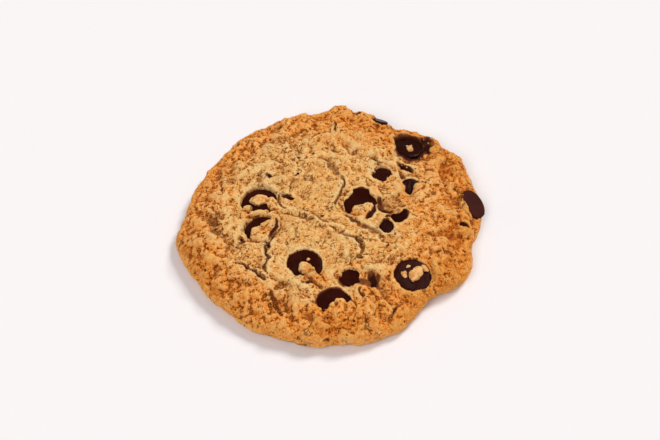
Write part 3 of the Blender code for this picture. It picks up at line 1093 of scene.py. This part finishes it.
    def toast(self, share: Array, x: Array, y: Array) -> Array:
        """How toasted the crust is at each place, 0 to 1."""
        level = 0.10 + 0.62 * smooth_step(0.62, 0.98, share)
        for patch in TOASTED_PATCHES:
            level = level + patch.at(x, y)
        return np.clip(level + 0.25 * self.flap_share(x, y), 0.0, 1.2)


CRAGGY_PATCHES = (
    Swell(-4.0, -12.0, 13.0, 8.0, 0.0, -0.15),
    Swell(8.0, 28.0, 9.0, 5.0, 0.0, -0.25),
    Swell(22.0, -32.0, 7.0, 5.0, 45.0, -0.45),
    Swell(16.0, -33.0, 5.0, 3.0, 90.0, -0.35),
    Swell(33.0, 18.0, 8.0, 6.0, -30.0, 0.45),
    Swell(-14.0, 30.0, 12.0, 6.0, 25.0, 0.30),
    Swell(-34.0, 2.0, 6.0, 14.0, 0.0, 0.25),
    Swell(-12.0, -33.0, 12.0, 5.0, -10.0, 0.30),
    Swell(13.0, -3.0, 6.0, 4.0, 0.0, -0.20),
)


TOASTED_PATCHES = (
    Swell(6.0, 28.0, 13.0, 8.0, 0.0, 0.32),
    Swell(30.0, -4.0, 12.0, 16.0, 0.0, 0.38),
    Swell(33.0, 19.0, 7.0, 5.0, -30.0, 0.45),
    Swell(24.0, -26.0, 12.0, 9.0, 45.0, 0.38),
    Swell(10.5, -29.0, 5.0, 2.2, -60.0, 0.45),
    Swell(-4.0, -24.0, 3.0, 1.6, -48.0, 0.45),
    Swell(-30.0, -22.0, 10.0, 8.0, 135.0, 0.12),
    Swell(0.0, 10.0, 12.0, 9.0, 0.0, -0.15),
    Swell(-4.0, -12.0, 14.0, 9.0, 0.0, -0.15),
)


# ---------------------------------------------------------------------------------------------
# The skin of the dough


@dataclass
class DoughSkin:
    """The dough's closed mesh: fine rings over the top and rim, coarser ones underneath (mm)."""

    form: DoughForm
    top_spacing: float = 0.285
    under_spacing: float = 0.62
    jitter: float = 0.22
    calm_above: float = 8.9
    seed: int = 5

    def build(self, finish: bpy.types.Material) -> bpy.types.Object:
        """Make the skin, give it its grain and dress it.

        Args:
            finish: The baked dough.

        Returns:
            The finished piece.
        """
        points, faces = self.rings()
        mesh = bpy.data.meshes.new("dough_skin")
        mesh.from_pydata((points * MM).tolist(), [], faces)
        piece = bpy.data.objects.new("dough_skin", mesh)
        bpy.context.scene.collection.objects.link(piece)
        share, x, y = self.whereabouts(points)
        self.store(mesh, "relief", smooth_step(0.05, 1.6, points[:, 2]) * (1.0 - 0.5 * smooth_step(0.9, 1.0, share)))
        self.store(mesh, "crag", self.form.crag(share, x, y))
        CrustRelief().apply(piece, finish)
        self.keep_in_height(piece.data)
        self.dress(piece)
        piece.data.shade_smooth()
        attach(piece, BODY)
        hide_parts("dough")
        return piece

    def profile_shares(self) -> Array:
        """Shares of the way out for the rings of the top, evenly spaced along its section."""
        share = 1.0 - np.linspace(1.0, 0.0, 4000) ** 2
        out = share * self.form.outline_radius
        up = self.form.dome(share, np.full_like(share, 180.0))
        travelled = np.concatenate(([0.0], np.cumsum(np.hypot(np.diff(out), np.diff(up)))))
        count = int(travelled[-1] / self.top_spacing)
        return np.interp(np.linspace(0.0, travelled[-1], count + 1), travelled, share)

    def rings(self) -> tuple[Array, list[tuple[int, int, int]]]:
        """Points and faces of the skin before its grain.

        Returns:
            The points in mm, one row each, and the triangles.
        """
        rng = np.random.default_rng(self.seed)
        shares = self.profile_shares()
        curl = np.linspace(1.0, self.form.foot, 12)[1:]
        inner = np.linspace(self.form.foot, 0.0, int(self.form.foot * self.form.outline_radius / self.under_spacing))[1:]
        plan = [(share, self.top_spacing, True) for share in shares[1:]]
        plan += [(share, 0.4, False) for share in curl]
        plan += [(share, self.under_spacing, False) for share in inner[:-1]]
        blocks, spans, faces = [np.array([[0.0, 0.0, 1.0]])], [(0, 1)], []
        angles: list[Array] = [np.zeros(1)]
        first = 1
        for share, spacing, upper in plan:
            count = max(6, int(2.0 * math.pi * share * self.form.outline_radius / spacing))
            jitter = self.jitter if 0.0 < share < 0.995 else 0.0
            step = 2.0 * math.pi / count
            turn = (np.arange(count) + rng.uniform(-jitter, jitter, count) + rng.uniform()) * step
            wander = rng.uniform(-jitter, jitter, count) * spacing / self.form.outline_radius
            blocks.append(np.stack([turn, np.full(count, share) + (wander if upper and share < 0.97 else 0.0),
                                    np.full(count, 1.0 if upper else -1.0)], axis=1))
            angles.append(turn)
            spans.append((first, count))
            first += count
        blocks.append(np.array([[0.0, 0.0, -1.0]]))
        spans.append((first, 1))
        angles.append(np.zeros(1))
        for (start, count), (next_start, next_count), turn, next_turn in zip(spans, spans[1:], angles, angles[1:]):
            faces.extend(self.stitch(start, count, turn, next_start, next_count, next_turn))
        table = np.concatenate(blocks)
        return self.place(table[:, 0], table[:, 1], table[:, 2] > 0.0), faces

    @staticmethod
    def stitch(start: int, count: int, turn: Array, next_start: int, next_count: int,
               next_turn: Array) -> Iterable[tuple[int, int, int]]:
        """Triangles of the band between one ring and the next, both sorted by angle.

        Args:
            start: Index of the first ring's first point.
            count: Number of its points.
            turn: Their angles.
            next_start: Index of the next ring's first point.
            next_count: Number of its points.
            next_turn: Their angles.

        Yields:
            Triangles with their faces outwards.
        """
        if count == 1:
            for index in range(next_count):
                yield start, next_start + index, next_start + (index + 1) % next_count
            return
        if next_count == 1:
            for index in range(count):
                yield start + index, next_start, start + (index + 1) % count
            return
        full = 2.0 * math.pi
        offset = int(np.searchsorted(next_turn, turn[0])) % next_count
        here, there = 0, 0

        def ahead(values: Array, index: int, size: int, shift: int) -> float:
            """Angle of a point after going round."""
            place = index + shift
            return float(values[place % size]) + full * (place // size)

        base = float(turn[0])
        lag = full if ahead(next_turn, 0, next_count, offset) < base - 0.5 * full else 0.0
        while here < count or there < next_count:
            mine = ahead(turn, here + 1, count, 0)
            theirs = ahead(next_turn, there + 1, next_count, offset) + lag
            a, b = start + here % count, next_start + (there + offset) % next_count
            if there >= next_count or (here < count and mine <= theirs):
                yield a, b, start + (here + 1) % count
                here += 1
            else:
                yield a, b, next_start + (there + 1 + offset) % next_count
                there += 1

    def place(self, turn: Array, share: Array, upper: Array) -> Array:
        """Positions in mm of points given by angle, share of the way out and side."""
        bearing = np.degrees(turn)
        share = np.clip(share, 0.0, 1.0)
        reach = self.form.outline(bearing) * share
        x = self.form.centre[0] + reach * np.cos(turn)
        y = self.form.centre[1] + reach * np.sin(turn)
        height = np.where(upper, self.form.top(share, bearing, x, y), self.form.under(share, bearing))
        return np.stack([x, y, height], axis=1)

    def whereabouts(self, points: Array) -> tuple[Array, Array, Array]:
        """Share of the way out to the rim, and the place, of each point."""
        x, y = points[:, 0], points[:, 1]
        across, back = x - self.form.centre[0], y - self.form.centre[1]
        reach = self.form.outline(np.degrees(np.arctan2(back, across)))
        return np.clip(np.hypot(across, back) / reach, 0.0, 1.0), x, y

    @staticmethod
    def store(mesh: bpy.types.Mesh, name: str, values: Array) -> None:
        """Keep one number for each point of a mesh."""
        layer = mesh.attributes.get(name) or mesh.attributes.new(name, "FLOAT", "POINT")
        layer.data.foreach_set("value", np.ascontiguousarray(values, dtype=np.float32))

    def keep_in_height(self, mesh: bpy.types.Mesh) -> None:
        """Hold every point above the table, and flatten the highest lumps softly."""
        places = read_points(mesh)
        over = np.clip(places[:, 2] / MM - self.calm_above, 0.0, None)
        places[:, 2] = np.clip(places[:, 2] - (over - np.tanh(over / 0.9) * 0.9) * MM, 0.0, None)
        mesh.vertices.foreach_set("co", places.astype(np.float32).ravel())
        mesh.update()

    def dress(self, piece: bpy.types.Object) -> None:
        """Measure the finished skin for the material: toast, hollows, valleys, and the stains with their painted
        shade.
        """
        mesh = piece.data
        places = read_points(mesh) / MM
        normals = np.zeros(len(mesh.vertices) * 3, np.float32)
        mesh.vertices.foreach_get("normal", normals)
        normals = normals.reshape(-1, 3)
        edges = np.zeros(len(mesh.edges) * 2, np.int32)
        mesh.edges.foreach_get("vertices", edges)
        edges = edges.reshape(-1, 2)
        near = soften(places, edges, 5)
        far = soften(near, edges, 36)
        hollow = ((places - near) * normals).sum(1)
        valley = ((near - far) * normals).sum(1)
        share, x, y = self.whereabouts(places)
        upper = smooth_step(1.0, 3.5, places[:, 2])
        self.store(mesh, "hollow", np.clip(hollow / 0.11, -1.0, 1.0))
        self.store(mesh, "valley", np.clip(valley / 0.30, -1.0, 1.0))
        self.store(mesh, "toast", self.form.toast(share, x, y) * upper + 0.85 * (1.0 - upper))
        self.store(mesh, "stain_and_shade", self.form.stain_and_shade(x, y, places[:, 2]) * upper)


def read_points(mesh: bpy.types.Mesh) -> Array:
    """The positions of a mesh's points, one row each."""
    places = np.zeros(len(mesh.vertices) * 3, np.float32)
    mesh.vertices.foreach_get("co", places)
    return places.reshape(-1, 3).astype(float)


def soften(places: Array, edges: Array, rounds: int) -> Array:
    """Points moved to the mean of their neighbours and themselves, several times over."""
    count = len(places)
    ends = np.concatenate([edges[:, 0], edges[:, 1]])
    others = np.concatenate([edges[:, 1], edges[:, 0]])
    weight = np.bincount(ends, minlength=count) + 1.0
    for _ in range(rounds):
        summed = np.stack([np.bincount(ends, weights=places[others, axis], minlength=count) for axis in range(3)], 1)
        places = (places + summed) / weight[:, None]
    return places


# ---------------------------------------------------------------------------------------------
# Geometry Nodes


class NodeRecipe:
    """A Geometry Nodes tree with named inputs, applied once and turned into a plain mesh."""

    name = "recipe"
    inputs: dict[str, float] = {}

    def wire_up(self, bench: Bench, source: bpy.types.Node) -> bpy.types.NodeSocket:
        """Build the tree and return its geometry; each recipe has its own."""
        raise NotImplementedError

    def apply(self, piece: bpy.types.Object, finish: bpy.types.Material) -> bpy.types.Object:
        """Run the tree on an object and keep the result as its mesh.

        Args:
            piece: The object, which keeps its name.
            finish: The material set at the end of the tree.

        Returns:
            The same object with a plain mesh.
        """
        tree = bpy.data.node_groups.new(self.name, "GeometryNodeTree")
        tree.interface.new_socket("Geometry", in_out="INPUT", socket_type="NodeSocketGeometry")
        tree.interface.new_socket("Geometry", in_out="OUTPUT", socket_type="NodeSocketGeometry")
        sockets = {}
        for label, value in self.inputs.items():
            kind = "NodeSocketInt" if isinstance(value, int) else "NodeSocketFloat"
            sockets[label] = tree.interface.new_socket(label, in_out="INPUT", socket_type=kind)
        bench = Bench(tree)
        source = bench.node("NodeGroupInput")
        shape = self.wire_up(bench, source)
        real = bench.node("GeometryNodeRealizeInstances", None, {"Geometry": shape})
        painted = bench.node("GeometryNodeSetMaterial", None,
                             {"Geometry": real.outputs["Geometry"], "Material": finish})
        bench.node("NodeGroupOutput", None, {"Geometry": painted.outputs["Geometry"]})
        modifier = piece.modifiers.new(self.name, "NODES")
        modifier.node_group = tree
        for label, value in self.inputs.items():
            modifier[sockets[label].identifier] = value
        return bake_modifiers(piece)


class CrustRelief(NodeRecipe):
    """Gives the crust its lumps, crumbs, grains and pores."""

    name = "crust_relief"
    inputs = {"Swell Height": 3.2 * MM, "Fold Height": 2.3 * MM, "Lump Height": 3.4 * MM,
              "Crumb Height": 0.80 * MM, "Grain Height": 0.36 * MM, "Pore Depth": 0.55 * MM, "Crack Depth": 0.45 * MM,
              "Smooth Share": 0.36, "Seed": 4.0}

    def wire_up(self, bench: Bench, source: bpy.types.Node) -> bpy.types.NodeSocket:
        """Offset each point along its normal by the sum of four kinds of relief."""
        def take(label: str) -> Wire:
            """One named input of the tree."""
            return Wire(bench, source.outputs[label])

        def read(label: str) -> Wire:
            """One attribute of the skin."""
            made = bench.node("GeometryNodeInputNamedAttribute", {"data_type": "FLOAT"}, {"Name": label})
            return Wire(bench, made.outputs["Attribute"])

        seed = take("Seed")
        place = bench.node("GeometryNodeInputPosition").outputs["Position"]
        normal = bench.node("GeometryNodeInputNormal").outputs["Normal"]
        bent = bench.warp(place, 3.4, 1.2)
        crag = read("crag")
        rough = crag + take("Smooth Share") * (1.0 - crag)
        swells = bench.grain(bent, 6.5, 0.0, 0.5, seed + 1.0) - 0.5
        folds = bench.grain(bent, 3.6, 0.0, 0.5, seed + 2.0) - 0.5
        lumps = bench.grain(bench.warp(place, 2.0, 0.5), 3.4, 2.0, 0.55, seed) - 0.5
        tone, gap = bench.crumbs(bench.warp(place, 1.3, 0.35), 1.55, seed + 4.0)
        crumbs = (0.62 - gap) * (tone * 0.8 + 0.6)
        heaps = bench.rise(bench.grain(place, 5.0, 1.0, 0.5, seed + 8.0), 0.40, 0.62)
        grains = bench.grain(place, 0.85, 1.5, 0.6, seed + 6.0) - 0.5
        pits = bench.pits(bench.warp(place, 0.7, 0.35), 2.1, 0.07, 0.24, seed + 5.0)
        gate = bench.rise(bench.grain(place, 3.4, 1.0, 0.5, seed + 9.0), 0.44, 0.60)
        line = (bench.grain(bench.warp(place, 1.2, 0.4), 6.5, 1.0, 0.5, seed + 13.0) - 0.5).size()
        broken = bench.rise(bench.grain(place, 3.0, 1.0, 0.5, seed + 17.0), 0.50, 0.62)
        cracks = bench.rise(line, 0.018, 0.004) * broken
        offset = (rough * (swells * take("Swell Height") + folds * take("Fold Height"))
                  + crag * (lumps * take("Lump Height") + heaps * crumbs * take("Crumb Height"))
                  + grains * take("Grain Height") * (0.45 + crag * 0.55)
                  - pits * gate * take("Pore Depth") - cracks * take("Crack Depth"))
        offset = offset * read("relief")
        move = bench.node("ShaderNodeVectorMath", {"operation": "SCALE"}, {0: normal, "Scale": offset})
        moved = bench.node("GeometryNodeSetPosition", None,
                           {"Geometry": source.outputs["Geometry"], "Offset": move.outputs[0]})
        return moved.outputs["Geometry"]


class GrainScatter(NodeRecipe):
    """Strews loose angular grains over the crust."""

    name = "grain_scatter"
    inputs = {"Grains Per Square Metre": 260000.0, "Smallest": 0.10 * MM, "Largest": 0.32 * MM, "Seed": 7}

    def wire_up(self, bench: Bench, source: bpy.types.Node) -> bpy.types.NodeSocket:
        """Scatter points on the crust's upper side and set a turned, scaled grain on each."""
        share = bench.node("GeometryNodeInputNamedAttribute", {"data_type": "FLOAT"}, {"Name": "scatter"})
        density = Wire(bench, source.outputs["Grains Per Square Metre"]) * Wire(bench, share.outputs["Attribute"])
        points = bench.node("GeometryNodeDistributePointsOnFaces", None,
                            {"Mesh": source.outputs["Geometry"], "Density": density,
                             "Seed": source.outputs["Seed"]})
        grain = bench.node("GeometryNodeMeshIcoSphere", None, {"Radius": 1.0, "Subdivisions": 1})
        turn = bench.node("FunctionNodeRandomValue", {"data_type": "FLOAT_VECTOR"},
                          {"Max": (math.tau, math.tau, math.tau), "Seed": 3})
        stretch = bench.node("FunctionNodeRandomValue", {"data_type": "FLOAT_VECTOR"},
                             {"Min": (0.6, 0.6, 0.5), "Max": (1.3, 1.3, 1.0), "Seed": 5})
        width = bench.node("FunctionNodeRandomValue", {"data_type": "FLOAT"},
                           {2: source.outputs["Smallest"], 3: source.outputs["Largest"], "Seed": 9})
        scale = bench.node("ShaderNodeVectorMath", {"operation": "SCALE"},
                           {0: stretch.outputs[0], "Scale": width.outputs[1]})
        placed = bench.node("GeometryNodeInstanceOnPoints", None,
                            {"Points": points.outputs["Points"], "Instance": grain.outputs["Mesh"],
                             "Rotation": turn.outputs[0], "Scale": scale.outputs[0]})
        return placed.outputs["Instances"]


# ---------------------------------------------------------------------------------------------
# Crumbs and bits


@dataclass(frozen=True)
class Lump:
    """One crumb or bit: where it lies (mm), its half-sizes (mm) and its bearing (degrees)."""

    x: float
    y: float
    lift: float
    length: float
    width: float
    thickness: float
    bearing: float = 0.0


@dataclass
class LumpHeap:
    """Crumbs or bits of one kind, joined as one piece."""

    name: str
    lumps: Sequence[Lump]
    ground: Callable[[float, float], float]
    slot: str
    roughness: float = 0.30
    subdivisions: int = 3

    def build(self, finish: bpy.types.Material) -> bpy.types.Object:
        """Make every lump and join them.

        Args:
            finish: The lumps' material.

        Returns:
            The finished piece.
        """
        bm = bmesh.new()
        for index, lump in enumerate(self.lumps):
            made = bmesh.ops.create_icosphere(bm, subdivisions=self.subdivisions, radius=1.0)
            seed = Vector((index * 7.1 + 1.3, index * 3.3, 2.0))
            turn = Matrix.Rotation(math.radians(lump.bearing), 3, "Z")
            middle = Vector((lump.x, lump.y, self.ground(lump.x, lump.y) + lump.lift))
            for vert in made["verts"]:
                swell = 1.0 + self.roughness * noise.noise(vert.co * 1.3 + seed)
                swell += self.roughness * 0.6 * noise.noise(vert.co * 3.1 + seed)
                local = Vector((vert.co.x * lump.length, vert.co.y * lump.width, vert.co.z * lump.thickness))
                vert.co = (middle + turn @ (local * swell)) * MM
        mesh = bpy.data.meshes.new(self.name)
        bm.to_mesh(mesh)
        bm.free()
        mesh.shade_smooth()
        mesh.materials.append(finish)
        piece = bpy.data.objects.new(self.name, mesh)
        bpy.context.scene.collection.objects.link(piece)
        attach(piece, BODY)
        return piece


# ---------------------------------------------------------------------------------------------
# The cookie


@dataclass
class Cookie:
    """The whole cookie: dough, chips, bits of chocolate, crumbs and grains."""

    chips: list[Chip] = field(default_factory=lambda: [Chip(seat) for seat in SEATS])
    chip_crumbs: tuple[tuple[str, Lump], ...] = (
        ("chip_front_right", Lump(0.8, 0.7, 0.25, 2.0, 1.7, 0.65, 20.0)),
        ("chip_front_right", Lump(0.4, -0.6, 0.2, 1.2, 1.3, 0.5, 70.0)),
        ("chip_front_right", Lump(-2.4, 0.2, 0.15, 0.7, 1.1, 0.4, 8.0)),
        ("chip_front_right", Lump(3.3, 2.4, 0.15, 1.3, 0.7, 0.45, -50.0)),
        ("chip_front_right", Lump(-1.2, 2.6, 0.05, 0.6, 0.4, 0.2, 20.0)),
        ("chip_back_right", Lump(0.4, -0.5, 0.2, 0.95, 1.35, 0.5, 8.0)),
        ("chip_centre_right", Lump(-0.2, 1.4, 0.1, 0.4, 0.3, 0.2, 8.0)),
        ("chip_front_left", Lump(1.2, 1.6, 0.05, 0.5, 0.4, 0.25, 30.0)),
    )
    chocolate_bits: tuple[Lump, ...] = (
        Lump(-11.6, 2.3, -0.15, 1.1, 0.7, 0.5, -20.0),
        Lump(10.8, -2.4, 0.0, 2.1, 0.6, 0.45, 60.0),
        Lump(11.0, -25.6, -0.2, 1.2, 1.1, 0.7, -40.0),
        Lump(35.8, -4.8, -0.1, 1.0, 0.7, 0.5, 0.0),
        Lump(11.6, 18.0, -0.1, 0.8, 0.5, 0.4, -30.0),
        Lump(-2.8, -3.7, -0.12, 0.55, 0.4, 0.3, 0.0),
        Lump(-9.5, 11.5, -0.12, 0.35, 0.5, 0.25, 30.0),
        Lump(-33.9, -20.5, -0.1, 0.35, 0.45, 0.25, 0.0),
        Lump(-24.6, -10.8, -0.1, 0.45, 0.6, 0.3, 0.0),
        Lump(24.8, 22.3, -0.2, 1.2, 0.8, 0.6, 20.0),
        # This long dark bit lies in the slit under the fold at the back right, as painted shade there.
        Lump(20.9, 15.3, -0.30, 1.9, 0.5, 0.45, -28.0),
    )

    def build(self) -> None:
        """Build every piece and report it."""
        for chip in self.chips:
            chip.settle()
        dough_finish, crumb_finish = DoughFinish().material(), CrumbFinish().material()
        chocolate = {
            Gloss.SUNK: ChocolateFinish("sunk_chocolate").material(),
            Gloss.MELTED: ChocolateFinish("melted_chocolate", dark=(0.019, 0.0026, 0.0014), dust=0.10,
                                          roughness=0.14, gloss=0.045, ripple=1.0).material(),
            Gloss.DUSTY: ChocolateFinish("dusty_chocolate", dust=0.45, roughness=0.5, gloss=0.03,
                                         dark=(0.046, 0.0095, 0.0062)).material(),
        }
        form = DoughForm(self.chips)
        skin = DoughSkin(form).build(dough_finish)
        self.report(skin)
        for chip in self.chips:
            self.report(chip.build(chocolate[chip.seat.gloss]))
        ground = SkinProbe(skin)
        self.report(LumpHeap("chocolate_bits", self.chocolate_bits, ground.height, "chocolate")
                    .build(chocolate[Gloss.SUNK]))
        self.report(self.crumbs_on_chips(crumb_finish))
        self.report(self.loose_grains(skin, crumb_finish))

    def crumbs_on_chips(self, finish: bpy.types.Material) -> bpy.types.Object:
        """Crumbs that lie on the bases of the chips."""
        by_name = {chip.seat.name: chip for chip in self.chips}
        placed, heights = [], {}
        for name, lump in self.chip_crumbs:
            chip = by_name[name]
            x, y = chip.base.x + lump.x, chip.base.y + lump.y
            placed.append(Lump(x, y, lump.lift, lump.length, lump.width, lump.thickness, lump.bearing))
            heights[(x, y)] = float(chip.plane_height(np.array(x), np.array(y)))
        heap = LumpHeap("crumbs_on_chips", placed, lambda x, y: heights[(x, y)], "baked_dough", 0.55)
        return heap.build(finish)

    def loose_grains(self, skin: bpy.types.Object, finish: bpy.types.Material) -> bpy.types.Object:
        """Loose grains strewn over the crust.

        Args:
            skin: The dough's skin.
            finish: The grains' material.

        Returns:
            The finished piece.
        """
        piece = bpy.data.objects.new("loose_grains", skin.data.copy())
        bpy.context.scene.collection.objects.link(piece)
        places = read_points(piece.data) / MM
        clear = np.ones(len(places))
        for chip in self.chips:
            away = chip.reach(places[:, 0], places[:, 1]) - chip.seat.width / 2.0
            clear = clear * smooth_step(0.0, 0.8, away)
        DoughSkin.store(piece.data, "scatter", smooth_step(2.5, 4.5, places[:, 2]) * clear)
        GrainScatter().apply(piece, finish)
        piece.data.shade_smooth()
        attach(piece, BODY)
        return piece

    @staticmethod
    def report(piece: bpy.types.Object) -> None:
        """Say what was built."""
        piece.data.calc_loop_triangles()
        LOG.info("%s: %d triangles", piece.name, len(piece.data.loop_triangles))


class SkinProbe:
    """Finds the height of the dough's skin at a place."""

    def __init__(self, skin: bpy.types.Object) -> None:
        """Keep the upper points of the skin, in mm."""
        places = read_points(skin.data) / MM
        self.places = places[places[:, 2] > 2.5]

    def height(self, x: float, y: float) -> float:
        """Height of the skin's nearest point."""
        away = np.hypot(self.places[:, 0] - x, self.places[:, 1] - y)
        return float(self.places[int(away.argmin()), 2])


# ---------------------------------------------------------------------------------------------
# The studio


@dataclass(frozen=True)
class Softlight:
    """A far soft light: where it shines from and how wide it looks (degrees), and its strength (W/m2)."""

    name: str
    bearing: float
    elevation: float
    spread: float
    strength: float
    colour: Colour = (1.0, 1.0, 1.0)

    def build(self) -> None:
        """Hang the light, facing the cookie."""
        turn, lift = math.radians(self.bearing), math.radians(self.elevation)
        away = Vector((math.cos(turn) * math.cos(lift), math.sin(turn) * math.cos(lift), math.sin(lift)))
        light = bpy.data.lights.new(self.name, "SUN")
        light.angle = math.radians(self.spread)
        light.energy = self.strength
        light.color = self.colour
        lamp = bpy.data.objects.new(self.name, light)
        lamp.location = away
        lamp.rotation_euler = away.to_track_quat("Z", "Y").to_euler()
        bpy.context.scene.collection.objects.link(lamp)


@dataclass(frozen=True)
class Studio:
    """A pale floor, soft light and the camera."""

    elevation: float = 50.0
    distance: float = 0.436
    lens: float = 85.0
    aim: tuple[float, float, float] = (-0.00062, 0.00226, 0.0)
    floor_width: float = 8.0
    floor_colour: Colour = (0.875, 0.855, 0.865)
    sky: float = 0.33
    sky_colour: Colour = (1.0, 0.93, 0.93)
    backdrop: Colour = (0.93, 0.91, 0.92)
    lamps: tuple[Softlight, ...] = (
        Softlight("key", 42.0, 46.0, 20.0, 2.02, (0.985, 1.0, 0.985)),
        Softlight("fill", 240.0, 48.0, 38.0, 1.32, (1.0, 0.985, 0.99)),
    )

    def build(self) -> None:
        """Set up the floor, world, lights, camera and tone."""
        self.floor()
        self.world()
        for lamp in self.lamps:
            lamp.build()
        self.camera()
        view = bpy.context.scene.view_settings
        view.view_transform = "Standard"
        view.look = "None"

    def floor(self) -> None:
        """Lay the floor."""
        mesh = bpy.data.meshes.new("floor")
        half = self.floor_width / 2.0
        corners = [(-half, -half, 0.0), (half, -half, 0.0), (half, half, 0.0), (-half, half, 0.0)]
        mesh.from_pydata(corners, [], [(0, 1, 2, 3)])
        material, bench, shader = new_material("pale_floor")
        place = bench.node("ShaderNodeTexCoord").outputs["Object"]
        tint = bench.rise(bench.grain(place, 600.0, 1.0), 0.3, 0.7)
        colour = bench.blend(tint * 0.3, self.floor_colour, tuple(level * 0.985 for level in self.floor_colour))
        bench.feed(shader.inputs["Base Color"], colour)
        shader.inputs["Roughness"].default_value = 0.7
        shader.inputs["Specular IOR Level"].default_value = 0.1
        mesh.materials.append(material)
        floor = bpy.data.objects.new("floor", mesh)
        bpy.context.scene.collection.objects.link(floor)

    def world(self) -> None:
        """An even pale sky."""
        world = bpy.data.worlds.new("sky")
        world.use_nodes = True
        background = world.node_tree.nodes["Background"]
        background.inputs["Color"].default_value = (*self.sky_colour, 1.0)
        background.inputs["Strength"].default_value = self.sky
        bench = Bench(world.node_tree)
        seen = bench.node("ShaderNodeLightPath").outputs["Is Camera Ray"]
        wall = bench.node("ShaderNodeBackground", None, {"Color": (*self.backdrop, 1.0), "Strength": 1.0})
        mixed = bench.node("ShaderNodeMixShader", None,
                           {0: seen, 1: background.outputs[0], 2: wall.outputs[0]})
        bench.feed(world.node_tree.nodes["World Output"].inputs["Surface"], mixed.outputs[0])
        bpy.context.scene.world = world

    def camera(self) -> None:
        """Put the camera at its viewing angle."""
        lift = math.radians(self.elevation)
        data = bpy.data.cameras.new("camera")
        data.lens = self.lens
        data.sensor_width = 36.0
        data.clip_start = 0.01
        camera = bpy.data.objects.new("camera", data)
        away = Vector((0.0, -math.cos(lift), math.sin(lift)))
        camera.location = Vector(self.aim) + away * self.distance
        camera.rotation_euler = (math.radians(90.0) - lift, 0.0, 0.0)
        bpy.context.scene.collection.objects.link(camera)
        bpy.context.scene.camera = camera


def main() -> None:
    """Build the cookie and its studio."""
    logging.basicConfig(level=logging.INFO, format="%(name)s %(message)s")
    Cookie().build()
    Studio().build()


if __name__ == "__main__":
    main()
